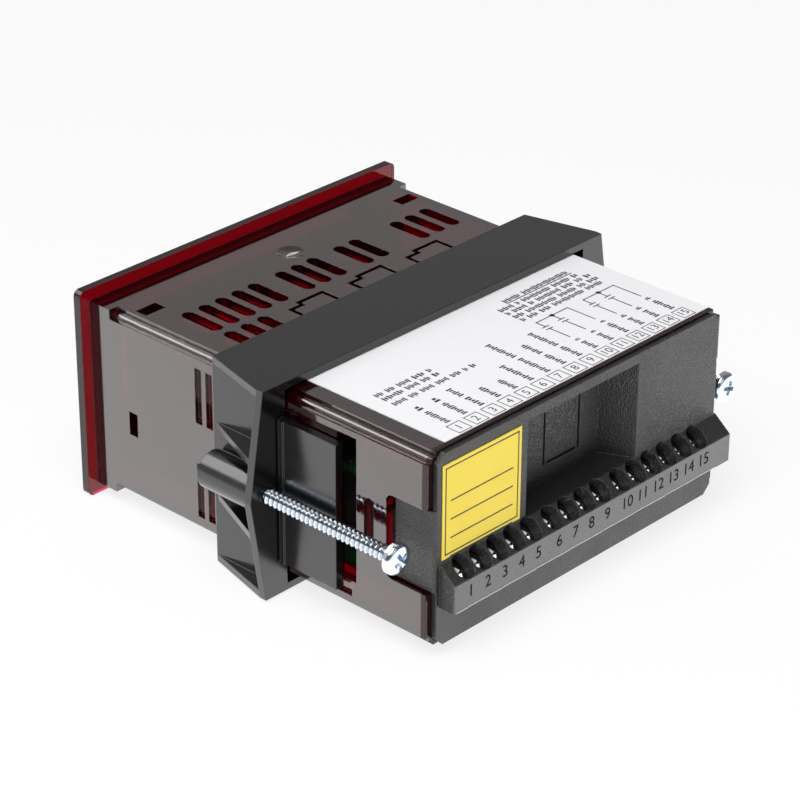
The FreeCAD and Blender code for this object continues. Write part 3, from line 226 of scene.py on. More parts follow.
def lay_floor():
    """Glowing floor that looks white and keeps a faint shadow near the meter."""
    mesh = bpy.data.meshes.new("floor")
    half = FLOOR_SIZE / 2
    corners = ((-half, -half), (half, -half), (half, half), (-half, half))
    mesh.from_pydata([(x, y, FLOOR_LEVEL) for x, y in corners], [], [(0, 1, 2, 3)])
    material, tree = new_material("light_table")
    matt = add(tree, "ShaderNodeBsdfDiffuse", color=FLOOR_MATT)
    white = add(tree, "ShaderNodeEmission", color=WHITE, strength=1.0)
    glow = add(tree, "ShaderNodeEmission", color=WHITE, strength=FLOOR_GLOW)
    away = add(tree, "ShaderNodeVectorMath", place_on(tree), operation="LENGTH")
    share = ramp(tree, away.outputs["Value"], FLOOR_WHITE_SHARE, 1.0, *SHADOW_FADE)
    looked_at = add(tree, "ShaderNodeMixShader", share, matt, white)
    either = add(tree, "ShaderNodeMixShader", seen_directly(tree), glow, looked_at)
    add(tree, "ShaderNodeOutputMaterial", surface=either)
    mesh.materials.append(material)
    floor = in_scene("floor", mesh)


light_world()
lay_floor()
add_lamp("key_box", (0.40, 0.26, 0.80), 9.0, 0.7)
add_lamp("rear_box", (0.0, 0.9, 0.45), 0.6, 0.5)
add_lamp("corner_box", (0.76, -0.6, 0.34), 1.5, 1.0)
panel = add_lamp("edge_box", (0.28, -0.63, 0.78), 8.0, 0.8)
panel.visible_diffuse = False
print("floor at", round(FLOOR_LEVEL / MM, 2), "mm, glow", FLOOR_GLOW)

# %% [markdown]
# ## Effects that several finishes share
# Moulded plastic has a fine spark-eroded grain, glossy plastic picks up faint smears from handling, and every
# real edge is a little round. Each effect is one node group, built once and placed in many materials.

# %% Shared node groups
DUST_SCALE = 260.0
EDGE_SAMPLES = 6


def new_group(name, label, value, outputs, kind="NodeSocketFloat"):
    """Empty shader group with one number to set, and named outputs of one kind."""
    group = bpy.data.node_groups.new(name, "ShaderNodeTree")
    given = group.interface.new_socket(label, in_out="INPUT", socket_type="NodeSocketFloat")
    given.default_value = value
    for output in outputs:
        group.interface.new_socket(output, in_out="OUTPUT", socket_type=kind)
    return group, group.nodes.new("NodeGroupInput").outputs[0], group.nodes.new("NodeGroupOutput").inputs


def moulded_grain():
    """Fine pits of a spark-eroded mould, as a height that also serves as a mask."""
    group, scale, end = new_group("moulded_grain", "Scale", 3000.0, ("Height",))
    pits = add(group, "ShaderNodeTexVoronoi", vector=place_on(group), scale=scale)
    feed(group, end["Height"], ramp(group, pits.outputs["Distance"], 0.0, 1.0, 0.1, 0.7))
    return group


def handling_smears():
    """Broad faint smears with a few specks of dust in them."""
    group, scale, end = new_group("handling_smears", "Scale", 60.0, ("Smear", "Dust"))
    place = place_on(group)
    broad = add(group, "ShaderNodeTexNoise", vector=place, scale=scale, detail=5.0, roughness=0.65, distortion=0.6)
    specks = add(group, "ShaderNodeTexVoronoi", vector=place, scale=DUST_SCALE)
    feed(group, end["Smear"], ramp(group, broad, 0.0, 1.0, 0.4, 0.75))
    feed(group, end["Dust"], ramp(group, specks.outputs["Distance"], 0.6, 0.0, 0.015, 0.03))
    return group


def soft_edges():
    """Normal that rounds every edge by a small radius."""
    group, radius, end = new_group("soft_edges", "Radius", 0.2 * MM, ("Normal",), "NodeSocketVector")
    feed(group, end["Normal"], add(group, "ShaderNodeBevel", samples=EDGE_SAMPLES, radius=radius))
    return group


GRAIN = moulded_grain()
SMEARS = handling_smears()
EDGES = soft_edges()
print("shared groups:", GRAIN.name, SMEARS.name, EDGES.name)

# %% Helpers that place the groups and end a material


def place_group(tree, group, value):
    """Put a shared group in a material, with its own scale or radius."""
    return add(tree, "ShaderNodeGroup", value, node_tree=group)


def blend_colours(tree, mask, first, second):
    """Colour that runs from the first to the second with a mask. Each is plain or from a node."""
    node = add(tree, "ShaderNodeMix", mask, data_type="RGBA")
    for socket, colour in ((node.inputs[6], first), (node.inputs[7], second)):
        feed(tree, socket, (*colour, 1) if isinstance(colour, tuple) else colour)
    return node.outputs[2]


def shaded(tree, mask, colour, share):
    """Colour that darkens to a share of itself with a mask."""
    return blend_colours(tree, mask, colour, tuple(share * value for value in colour))


def end_finish(tree, volume=None, **values):
    """End a material with one principled shader, its values set on its own sockets."""
    output = add(tree, "ShaderNodeOutputMaterial", add(tree, "ShaderNodeBsdfPrincipled", **values))
    if volume:
        feed(tree, output.inputs["Volume"], volume)


# %% [markdown]
# ## Smoked ruby case
# The case is tinted clear plastic: thick parts look black, thin ones glow red, and polished faces mirror the
# table. A principled shader with full transmission gives the mirror and a first tint. The rest of the tint is
# absorption inside the wall, so that light which travels far along a wall fades out. The polish is a coat, whose
# mask ends at the back of the bezel and at the rear rim, which are duller.

# %% Ruby plastic
RUBY_TINT = (0.50, 0.003, 0.03)
RUBY_DEPTH = (0.72, 0.0, 0.42)
RUBY_DENSITY = 1300.0
BEZEL_END = (0.2 * MM, 0.6 * MM)
RIM_START = (96.3 * MM, 96.6 * MM)


def ruby_plastic(tree):
    """Tinted clear plastic with faint smears."""
    along = axes(tree, place_on(tree))["Y"]
    polished = formula(tree, "MULTIPLY", ramp(tree, along, 0.0, 1.0, *BEZEL_END),
                       ramp(tree, along, 1.0, 0.0, *RIM_START))
    smear = place_group(tree, SMEARS, 45.0)
    inside = add(tree, "ShaderNodeVolumeAbsorption", color=(*RUBY_DEPTH, 1), density=RUBY_DENSITY)
    end_finish(tree, inside, base_color=(*RUBY_TINT, 1), transmission_weight=0.98, ior=1.45, coat_ior=1.74,
               coat_roughness=0.04, coat_weight=polished, roughness=ramp(tree, smear, 0.05, 0.16),
               normal=place_group(tree, EDGES, 0.25 * MM))


# %% [markdown]
# ## Black plastics
# Three blacks with three surfaces: the clamp frame is smooth and half glossy, the rear cover has a coarse grain,
# and the numbers on it are matt, and darker than the cover as painted shade. They share one function, and differ
# in grain and gloss.

# %% Black plastics
DUST_GREY = (0.2, 0.2, 0.2)
PIT_SHADE = 0.3
PEAK_SHADE = 2.2
RUBBED_GLOSS = 0.3
RUBBED_FADE = 0.2


def black_plastic(tree, shade, roughness, grain_scale, grain_depth, edge, gloss, rubbed=None):
    """Grained black moulding with smears. Past a rubbed (y, z) in mm it is polished."""
    grain = place_group(tree, GRAIN, grain_scale)
    smears = place_group(tree, SMEARS, 80.0)
    plain = blend_colours(tree, grain, (PIT_SHADE * shade,) * 3, (PEAK_SHADE * shade,) * 3)
    bump = add(tree, "ShaderNodeBump", height=grain, strength=1.0, distance=grain_depth,
               normal=place_group(tree, EDGES, edge))
    coat = {}
    if rubbed:
        place = axes(tree, place_on(tree))
        masks = [ramp(tree, place[axis], 0.0, 1.0, (level - RUBBED_FADE) * MM, level * MM)
                 for axis, level in zip("YZ", rubbed)]
        coat = {"coat_weight": formula(tree, "MULTIPLY", *masks), "coat_roughness": RUBBED_GLOSS}
    end_finish(tree, base_color=blend_colours(tree, smears.outputs["Dust"], plain, DUST_GREY), ior=gloss,
               roughness=ramp(tree, smears, roughness - 0.05, roughness + 0.07), normal=bump, **coat)


# %% [markdown]
# ## Metal, labels and print
# Zinc plating is a bright, slightly blue metal with cloudy gloss. The labels are satin film, and the print on them
# is a dark matt ink.

# %% Zinc, brass, film and ink


def cloudy_metal(tree, colour, low, high):
    """Plated metal with a cloudy gloss, darker as painted shade where a mesh marks a groove."""
    painted_groove_shade = add(tree, "ShaderNodeAttribute", attribute_name="painted_groove_shade").outputs["Fac"]
    # the groove attribute halves the colour: painted shade in the thread roots
    end_finish(tree, metallic=1.0, base_color=shaded(tree, painted_groove_shade, colour, 0.5),
               roughness=ramp(tree, place_group(tree, GRAIN, 900.0), low, high))


def uneven_finish(tree, effect, scale, share, spread, colour, roughness, metallic=0.0):
    """Finish whose colour darkens to a share, and whose roughness spreads, with a shared effect."""
    mask = place_group(tree, effect, scale)
    end_finish(tree, metallic=metallic, base_color=shaded(tree, mask, colour, share),
               roughness=ramp(tree, mask, roughness, roughness + spread))


def label_film(tree, *values):
    """Satin film, very slightly uneven."""
    uneven_finish(tree, SMEARS, 70.0, 0.96, 0.12, *values)


def plain_finish(tree, *values):
    """Colour with a trace of grain, for small and hidden pieces."""
    uneven_finish(tree, GRAIN, 2500.0, 0.85, 0.08, *values)


# %% [markdown]
# ## Circuit boards
# A board is green lacquer over copper: the tracks show as paler lines, and small tinned holes lie between them. A
# brick pattern gives the tracks, since its joints run straight and turn at right angles, and a cell pattern gives
# the holes.

# %% Board finish
LACQUER = (0.006, 0.05, 0.018)
LACQUER_ON_COPPER = (0.015, 0.11, 0.04)
TIN = (0.55, 0.55, 0.52)


def board_finish(tree):
    """Green lacquer with tracks and tinned holes, on the X and Y of the board."""
    place = place_on(tree)
    tracks = add(tree, "ShaderNodeTexBrick", vector=place, scale=400.0, mortar_size=0.05, mortar_smooth=0.1,
                 brick_width=1.9, row_height=0.55, color1=BLACK, color2=BLACK, mortar=WHITE)
    holes = add(tree, "ShaderNodeTexVoronoi", vector=place, scale=320.0)
    tinned = ramp(tree, holes.outputs["Distance"], 1.0, 0.0, 0.10, 0.13)
    lacquer = blend_colours(tree, tracks.outputs["Color"], LACQUER, LACQUER_ON_COPPER)
    end_finish(tree, base_color=blend_colours(tree, tinned, lacquer, TIN),
               roughness=ramp(tree, tinned, 0.3, 0.22), metallic=ramp(tree, tinned, 0.0, 0.9))


# %% [markdown]
# ## Every finish by the name of its slot
# Each table feeds one function above. A black has its shade, roughness, grain scale and depth, edge radius and
# gloss, a metal its colour and range of roughness, and a film or a plain finish its colour and roughness.

# %% Tables of finishes
BLACKS = {
    "latch_black": (0.003, 0.20, 5000.0, 0.004 * MM, 0.25 * MM, 1.66),
    "grained_black": (0.008, 0.36, 2700.0, 0.085 * MM, 0.4 * MM, 1.6, (102.9, -12.8)),
    # the numbers are the cover's own plastic; their darker colour is painted shade
    "number_black": (0.004, 0.75, 2300.0, 0.01 * MM, 0.05 * MM, 1.2),
}
METALS = {
    "zinc_steel": ((0.66, 0.73, 0.82), 0.08, 0.2),
    "terminal_steel": ((0.82, 0.83, 0.85), 0.25, 0.42),
    "clamp_brass": ((0.75, 0.58, 0.28), 0.2, 0.4),
    "can_top": ((0.72, 0.72, 0.72), 0.25, 0.4),
}
FILMS = {
    "label_white": ((0.86, 0.86, 0.88), 0.42),
    "label_yellow": ((0.87, 0.67, 0.05), 0.42),
    # pale parting line and gate nub: a painted highlight on real small shapes
    "worn_edge": ((0.55, 0.55, 0.54), 0.35),
    "torn_plastic": ((0.62, 0.55, 0.55), 0.25),
}
PLAINS = {
    "print_ink": ((0.02, 0.02, 0.022), 0.5),
    "black_film": ((0.012, 0.012, 0.014), 0.35),
    "key_rubber": ((0.05, 0.05, 0.055), 0.7),
    "digit_grey": ((0.03, 0.03, 0.032), 0.5),
    "segment_pale": ((0.80, 0.62, 0.58), 0.4),
    "lamp_red": ((0.5, 0.01, 0.01), 0.2),
    "switch_black": ((0.02, 0.02, 0.02), 0.45),
    "link_black": ((0.02, 0.02, 0.02), 0.5),
    "core_iron": ((0.16, 0.16, 0.17), 0.5, 0.8),
    "relay_blue": ((0.02, 0.10, 0.35), 0.4),
    "can_sleeve": ((0.015, 0.02, 0.05), 0.3),
    "chip_black": ((0.025, 0.025, 0.025), 0.55),
    "housing_black": ((0.012, 0.012, 0.012), 0.4),
}
TABLES = ((ruby_plastic, {"ruby_plastic": ()}), (board_finish, {"board_green": ()}), (black_plastic, BLACKS),
          (cloudy_metal, METALS), (label_film, FILMS), (plain_finish, PLAINS))
FINISHES = {}
for maker, table in TABLES:
    for name, values in table.items():
        FINISHES[name], tree = new_material(name)
        maker(tree, *values)

SLOT_OF = {row["node"]: row["material_slot"] for row in frame["record"]["subparts"]}
for name, node in nodes.items():
    node.data.materials.clear()
    node.data.materials.append(FINISHES[SLOT_OF[name]])
print("finishes:", len(FINISHES), "on", len(nodes), "nodes")

# %% [markdown]
# ## Making pieces
# A new piece is a mesh whose place is in the mesh itself, so its object stays at the origin and moves only with
# its body. It names its body, its finish and the solid that it replaces, if any. The other helpers join,
# turn, cut and place meshes.

# %% Piece helpers
CREASE = math.radians(40)


def show(name, mesh, finish, body, slot=None, instead=None):
    """Show a mesh as a piece that rides on a body, instead of a node if one is named."""
    mesh.name = name
    mesh.materials.clear()
    mesh.materials.append(FINISHES[finish])
    piece = in_scene(name, mesh)
    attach(piece, body)
    if instead:
        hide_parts(instead)
    return piece


def mesh_of(form):
    """Mesh of a form, which is then freed."""
    mesh = bpy.data.meshes.new("form")
    form.to_mesh(mesh)
    form.free()
    return mesh


def merged_copy(node):
    """Form of a node's solid with its points merged."""
    form = bmesh.new()
    form.from_mesh(nodes[node].data)
    bmesh.ops.remove_doubles(form, verts=form.verts, dist=1e-6)
    return form


def joined(*meshes):
    """One mesh from several."""
    form = bmesh.new()
    for mesh in meshes:
        form.from_mesh(mesh)
    return mesh_of(form)


def arc(x, y, radius, degrees):
    """Points round (x, y) at angles in degrees."""
    angles = [math.radians(angle) for angle in degrees]
    return [(x + radius * math.cos(angle), y + radius * math.sin(angle)) for angle in angles]


def turned(profile, segments=64):
    """Solid turned about Y from (radius, along) points in mm that start and end on the axis."""
    form = bmesh.new()
    points = [form.verts.new((radius * MM, along * MM, 0)) for radius, along in profile]
    edges = [form.edges.new(pair) for pair in zip(points, points[1:])]
    bmesh.ops.spin(form, geom=points + edges, axis=(0, 1, 0), cent=(0, 0, 0), steps=segments,
                   angle=math.tau, use_duplicate=False)
    bmesh.ops.remove_doubles(form, verts=form.verts, dist=1e-7)
    bmesh.ops.recalc_face_normals(form, faces=form.faces)
    return mesh_of(form)


def evaluated(holder):
    """Mesh of an object with its modifiers, which is then removed."""
    bpy.context.view_layer.update()
    depsgraph = bpy.context.evaluated_depsgraph_get()
    mesh = bpy.data.meshes.new_from_object(holder.evaluated_get(depsgraph), depsgraph=depsgraph)
    bpy.data.objects.remove(holder)
    return mesh


def without(base, cutter):
    """Base mesh with the cutter's mesh taken out."""
    holder, tool = in_scene("base", base), in_scene("cutter", cutter)
    boolean = holder.modifiers.new("cut", "BOOLEAN")
    boolean.object = tool
    boolean.solver = "EXACT"
    boolean.use_self = True
    mesh = evaluated(holder)
    bpy.data.objects.remove(tool)
    return mesh


def box_mm(node):
    """Low and high corners of a node's box in mm."""
    return [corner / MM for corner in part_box(node)]


def set_at(mesh, turn, x, y, z):
    """Turn a mesh and move it to a place in mm."""
    mesh.transform(Matrix.Translation(Vector((x, y, z)) * MM) @ turn)
    return mesh


# %% [markdown]
# ## Smooth bosses and rounded edges
# The solids are loose flat triangles, so bosses and rounded edges show their facets. A copy with merged points
# can be shaded smooth. It is split first along its sharp edges and round wide flat areas, so that these stay
# flat, and it takes the solid's place with exactly its shape.

# %% Smooth copies of the case and the clamp frame
FLAT_WIDTH = 0.9 * MM
FLAT_TURN = math.radians(0.2)
SHARP_TURN = math.radians(35)


def flat_areas(form):
    """Faces in flat areas that are wider than a facet of a rounded edge."""
    seen, flat = set(), set()
    for first in form.faces:
        if first in seen:
            continue
        seen.add(first)
        group, waiting = [], [first]
        while waiting:
            face = waiting.pop()
            group.append(face)
            beside = {other for edge in face.edges for other in edge.link_faces} - seen
            level = [other for other in beside if face.normal.angle(other.normal, 0) < FLAT_TURN]
            seen.update(level)
            waiting.extend(level)
        corners = [vert.co for face in group for vert in face.verts]
        span = max(max(c[i] for c in corners) - min(c[i] for c in corners) for i in range(3))
        if sum(face.calc_area() for face in group) > FLAT_WIDTH * span:
            flat.update(group)
    return flat


def smoothed(node, body):
    """Copy of a solid, smooth on its rounded faces only."""
    form = merged_copy(node)
    form.normal_update()
    flat = flat_areas(form)
    turns = [(edge, edge.calc_face_angle(0)) for edge in form.edges]
    bmesh.ops.split_edges(form, edges=[edge for edge, turn in turns if turn > SHARP_TURN
                                       or turn > FLAT_TURN and any(face in flat for face in edge.link_faces)])
    for face in form.faces:
        face.smooth = True
    return show(f"{node}_smooth", mesh_of(form), SLOT_OF[node], body, SLOT_OF[node], node)


for node, body in (("case", "case"), ("panel_latch", "latch")):
    print(node, "smooth faces:", len(smoothed(node, body).data.polygons))

# %% [markdown]
# ## Geometry nodes
# A geometry node tree is a recipe with named sizes. Helpers start it, end it and cook it: a holder object gets
# the tree, the sizes are set by each socket's identifier before anything is evaluated, and a plain mesh comes
# back.

# %% Geometry node helpers
INPUT_KINDS = {"Points": "NodeSocketGeometry", "Piece": "NodeSocketObject", "Finish": "NodeSocketMaterial"}


def new_recipe(name, inputs):
    """Empty geometry tree with a finish and other named inputs: points, a piece to put on them, or sizes."""
    tree = bpy.data.node_groups.new(name, "GeometryNodeTree")
    tree.interface.new_socket("Geometry", in_out="OUTPUT", socket_type="NodeSocketGeometry")
    for label in (*inputs, "Finish"):
        kind = INPUT_KINDS.get(label, "NodeSocketFloat")
        tree.interface.new_socket(label, in_out="INPUT", socket_type=kind)
    return tree, tree.nodes.new("NodeGroupInput").outputs


def end_recipe(tree, given, shape):
    """Realize the instances, set the finish and end the tree."""
    real = add(tree, "GeometryNodeRealizeInstances", shape)
    add(tree, "NodeGroupOutput", add(tree, "GeometryNodeSetMaterial", real, material=given["Finish"]))
    return tree


def on_points(tree, points, piece, **values):
    """Copies of a piece on points."""
    return add(tree, "GeometryNodeInstanceOnPoints", points=points, instance=piece, **values)


def swept(tree, curve, section):
    """Mesh of a section carried along a curve and kept upright."""
    upright = add(tree, "GeometryNodeSetCurveNormal", curve, mode="Z_UP")
    return add(tree, "GeometryNodeCurveToMesh", curve=upright, profile_curve=section)


def cook(tree, finish, points=None, **sizes):
    """Plain mesh from a recipe with its sizes, and its points if it is fed some."""
    holder = in_scene("holder", points or bpy.data.meshes.new("holder"))
    modifier = holder.modifiers.new("recipe", "NODES")
    modifier.node_group = tree
    values = {label.title(): value for label, value in sizes.items()}
    values["Finish"] = FINISHES[finish]
    for socket in tree.interface.items_tree:
        if socket.name in values:
            modifier[socket.identifier] = values[socket.name]
    return evaluated(holder)


# %% [markdown]
# ## Clamp screws
# Each is a long machine screw with a pan head and a cross recess. The solids leave the thread plain. Here a
# spiral carries a diamond profile round a thin core, and the head is turned from its profile and cut with a
# tapered cross.

# %% Thread recipe
SCREW_LENGTH = 50.8
SCREW_CREST = 1.75
SCREW_ROOT = 1.26
SCREW_PITCH = 1.27
SCREW_SIDES = 32
SCREW_CREASE = math.radians(32)
FLANK_SHARE = 0.46


def thread_recipe():
    """Spiral ridge round a core, along +Y from the origin."""
    labels = ("Length", "Pitch", "Root", "Crest")
    tree, given = new_recipe("screw_thread", labels)
    length, pitch, root, crest = (given[label] for label in labels)
    spiral = add(tree, "GeometryNodeCurveSpiral", resolution=SCREW_SIDES, start_radius=root, end_radius=root,
                 height=length, rotations=formula(tree, "DIVIDE", length, pitch))
    diamond = add(tree, "GeometryNodeCurvePrimitiveCircle", resolution=4, radius=1.0)
    squeeze = add(tree, "ShaderNodeCombineXYZ", formula(tree, "SUBTRACT", crest, root),
                  formula(tree, "MULTIPLY", pitch, FLANK_SHARE), 1.0)
    ridge = swept(tree, spiral, add(tree, "GeometryNodeTransform", geometry=diamond, scale=squeeze))
    core = add(tree, "GeometryNodeMeshCylinder", vertices=SCREW_SIDES, radius=root, depth=length)
    lift = add(tree, "ShaderNodeCombineXYZ", z=formula(tree, "MULTIPLY", length, 0.5))
    raised = add(tree, "GeometryNodeTransform", geometry=core, translation=lift)
    both = add(tree, "GeometryNodeJoinGeometry")
    for shape in (raised, ridge):
        feed(tree, both.inputs[0], shape)
    lying = add(tree, "GeometryNodeTransform", geometry=both, rotation=(-math.pi / 2, 0, 0))
    return end_recipe(tree, given, lying)


THREAD = thread_recipe()
print("recipe:", THREAD.name, "turns:", round(SCREW_LENGTH / SCREW_PITCH))

# %% Pan head with a cross recess
HEAD_RADIUS = 3.45
HEAD_CHAMFER = 0.15
HEAD_RIM = 0.75
HEAD_SHOULDER = 1.15
HEAD_HEIGHT = 2.3
CROSS_ABOVE = (3.9, 1.05, HEAD_HEIGHT + 0.05)
CROSS_BELOW = (3.9 * 0.45, 1.05 * 0.55, HEAD_HEIGHT - 1.5)


def pan_head():
    """Turned head: a flat underside, a round shoulder and a gently domed top."""
    profile = [(0, 0), (HEAD_RADIUS - HEAD_CHAMFER, 0), (HEAD_RADIUS, HEAD_CHAMFER)]
    profile += arc(HEAD_RADIUS - HEAD_SHOULDER, HEAD_RIM, HEAD_SHOULDER, range(0, 90, 10))
    last_radius, last_height = profile[-1]
    for share in (0.25, 0.5, 0.75, 1.0):
        rise = (HEAD_HEIGHT - last_height) * (1 - (1 - share) ** 2)
        profile.append((last_radius * (1 - share), last_height + rise))
    return turned(profile)


def cross_cutter():
    """Two crossed bars that taper, with a span, width and level above and below."""
    form = bmesh.new()
    for quarter in (0, 1):
        cube = bmesh.ops.create_cube(form, size=1.0)["verts"]
        for vert in cube:
            deep = vert.co.y < 0
            span, width, level = CROSS_BELOW if deep else CROSS_ABOVE
            vert.co = Vector((vert.co.x * span, level, vert.co.z * width)) * MM
        turn = Matrix.Rotation(quarter * math.pi / 2, 3, "Y")
        bmesh.ops.rotate(form, verts=cube, cent=(0, 0, 0), matrix=turn)
    return mesh_of(form)


HEAD = without(pan_head(), cross_cutter())
print("head faces:", len(HEAD.polygons))

# %% Place both screws


def mark_grooves(shank):
    """Attribute that is one at the root of the thread and zero on its crest, a mask for painted shade."""
    painted_groove_shade = shank.attributes.new("painted_groove_shade", "FLOAT", "POINT")
    for row, vert in zip(painted_groove_shade.data, shank.vertices):
        radius = math.hypot(vert.co.x, vert.co.z) / MM
        row.value = min(1.0, max(0.0, (SCREW_CREST - radius) / (SCREW_CREST - SCREW_ROOT)))


def clamp_screw(side, turn):
    """Threaded screw in the place of the plain one."""
    node = f"clamp_screw_{side}"
    low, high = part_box(node)
    shank = cook(THREAD, "zinc_steel", length=SCREW_LENGTH * MM, pitch=SCREW_PITCH * MM,
                 root=SCREW_ROOT * MM, crest=SCREW_CREST * MM)
    shank.transform(Matrix.Translation((0, -SCREW_LENGTH * MM, 0)))
    # marks where painted shade darkens the thread
    mark_grooves(shank)
    mesh = joined(shank, HEAD)
    place = Matrix.Translation(((low.x + high.x) / 2, high.y - HEAD_HEIGHT * MM, (low.z + high.z) / 2))
    mesh.transform(place @ Matrix.Rotation(turn, 4, "Y"))
    mesh.set_sharp_from_angle(angle=SCREW_CREASE)
    return show(f"threaded_screw_{side}", mesh, "zinc_steel", f"screw_{side}", "zinc_steel", node)


for side, turn in (("left", math.radians(28)), ("right", math.radians(-20))):
    screw = clamp_screw(side, turn)
    print(screw.name, "faces:", len(screw.data.polygons))

# %% [markdown]
# ## Terminal numbers
# The numbers 1 to 15 are moulded on the upright face below the screws. Each is a text curve with a little depth,
# turned into a mesh and stood against the face, reading for someone who looks at the meter from behind.

# %% Raised numbers
TERMINAL_COUNTS = (5, 4, 6)
TERMINAL_FIRST = 38.15
TERMINAL_PITCH = 5.08
TERMINAL_GROUP_GAP = 6.4
NUMBER_HEIGHT = 2.7
NUMBER_LEVEL = -9.3
NUMBER_PROUD = 0.03
CAP_SHARE = 0.7
FLAT = Matrix.Identity(4)
STANDING = Matrix.Rotation(math.pi / 2, 4, "X")
FROM_BEHIND = Matrix(((-1, 0, 0), (0, 0, 1), (0, 1, 0))).to_4x4()
FROM_ABOVE = Matrix(((-1, 0, 0), (0, -1, 0), (0, 0, 1))).to_4x4()


def terminal_places():
    """X of every terminal in mm, from the first at +X."""
    places = []
    start = TERMINAL_FIRST
    for count in TERMINAL_COUNTS:
        places += [start - i * TERMINAL_PITCH for i in range(count)]
        start = places[-1] - TERMINAL_GROUP_GAP
    return places


def text_mesh(text, height, depth):
    """Centred plain text with a cap height in mm, lying on its back."""
    curve = bpy.data.curves.new("text", "FONT")
    curve.body = text
    curve.align_x = "CENTER"
    curve.align_y = "CENTER"
    curve.size = height / CAP_SHARE * MM
    curve.extrude = depth * MM
    curve.resolution_u = 4
    return evaluated(in_scene("text", curve))


TERMINALS = terminal_places()
number_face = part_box("rear_cover")[1].y / MM
numbers = [set_at(text_mesh(str(i), NUMBER_HEIGHT, NUMBER_PROUD), FROM_BEHIND, x, number_face, NUMBER_LEVEL)
           for i, x in enumerate(TERMINALS, start=1)]
show("terminal_numbers", joined(*numbers), "number_black", "base", "grained_black")
print("numbers:", len(numbers), "on the face at", round(number_face, 2), "mm")

# %% [markdown]
# ## Bars on points
# Print, ruled lines and chip legs are all small bars, many of them. One recipe serves them all: it puts a bar on
# every point of a mesh, and each point carries the size of its own bar as an attribute named span.

# %% Bar recipe


def bar_recipe():
    """Bar on every point, as wide and long as the point's span."""
    tree, given = new_recipe("bars", ("Points", "Thickness"))
    span = add(tree, "GeometryNodeInputNamedAttribute", data_type="FLOAT_VECTOR", name="span")
    wide = axes(tree, span)
    size = add(tree, "ShaderNodeCombineXYZ", wide["X"], wide["Y"], given["Thickness"])
    bar = add(tree, "GeometryNodeMeshCube")
    return end_recipe(tree, given, on_points(tree, given["Points"], bar, scale=size))


BARS = bar_recipe()


def lay_bars(finish, bars, thickness):
    """Flat bars from (x low, x high, y low, y high) in mm, half above the XY plane."""
    points = bpy.data.meshes.new("points")
    points.from_pydata([((a + b) / 2 * MM, (c + d) / 2 * MM, 0) for a, b, c, d in bars], [], [])
    span = points.attributes.new("span", "FLOAT_VECTOR", "POINT")
    for row, (a, b, c, d) in zip(span.data, bars):
        row.vector = ((b - a) * MM, (d - c) * MM, 0)
    return cook(BARS, finish, points, thickness=thickness * MM)


print("recipe:", BARS.name)

# %% [markdown]
# ## Print on the white label
# The label has a boxed number for each terminal, a line of print beside each box, some lines of small print and
# two drawings of relay contacts. Each letter is a pair of plain strokes, so that the lines keep their length and
# weight.

# %% Lines of small print
PRINT_THICK = 0.04
LETTER_PITCH = 1.35
LETTER_TALL = 1.5
STROKES = ((0.02, 0.35, 1.0, 0.65), (0.50, 0.83, 0.65, 1.0))
WORD_GAP = 0.95
LABEL_BACK = 91.5
BOX_FIRST = 32.7
BOX_PITCH = 5.0
TERMINAL_WORDS = ((6.3, 2.0), (6.3, 2.0), (4.6, 4.1), (5.5,), (4.9,), (8.7,), (8.2, 7.9), (5.5, 5.3), (5.5, 7.8),
                  (3.9, 0.8), (3.9, 0.8), (5.5, 0.8), (3.9, 1.1), (3.9, 1.1), (5.5, 1.1))
SMALL_PRINT = (
    (35.0, 73.7, (2.2, 2.4, 3.6, 3.2, 1.2)), (35.0, 75.9, (5.8, 3.6, 2.4, 1.8)),
    (35.0, 78.7, (3.8, 2.4, 3.6, 3.4, 2.8, 1.1, 1.5)),
    (-14.7, 63.7, (5.1, 14.6)), (-10.8, 66.1, (4.3, 1.0, 8.9, 5.4, 1.7)),
    (-10.8, 68.1, (1.1, 4.2, 1.4, 7.5, 3.3, 2.1, 1.8)), (-10.8, 70.2, (3.1, 9.4, 5.4, 2.2, 3.3)),
    (-10.8, 72.2, (1.3, 2.9, 3.2, 9.8, 5.1)),
)


def letters(words):
    """(low, high, half height) of every stroke along a line of words. Every third letter has them reversed."""
    spans = []
    place = 0.0
    for length in words:
        count = max(1, round(length / LETTER_PITCH))
        step = length / count
        for i in range(count):
            for low, high, *tall in STROKES:
                start = place + i * step
                spans.append((start + low * step, start + high * step, LETTER_TALL / 2 * tall[i % 3 == 2]))
        place += length + WORD_GAP
    return spans


def label_lines():
    """Strokes of every line on the label."""
    bars = []
    for i, words in enumerate(TERMINAL_WORDS):
        x = BOX_FIRST - i * BOX_PITCH
        bars += [(x - half, x + half, LABEL_BACK - b, LABEL_BACK - a) for a, b, half in letters(words)]
    for x, y, words in SMALL_PRINT:
        bars += [(x - b, x - a, y - half, y + half) for a, b, half in letters(words)]
    return bars


print("strokes on the label:", len(label_lines()))

# %% Relay contact drawings
CONTACT_RAIL = 75.2
CONTACT_LEFT = (-12.1, -27.2)
CONTACT_GAP = (77.8, 78.9)
CONTACT_ENDS = (82.8, 84.4)
CONTACT_HALF = 0.9
DOT_HALF = 0.5
LINE_WIDTH = 0.3


def line(x0, x1, y0, y1):
    """Thin line along X or Y as a bar."""
    half = LINE_WIDTH / 2
    return (min(x0, x1) - half, max(x0, x1) + half, min(y0, y1) - half, max(y0, y1) + half)


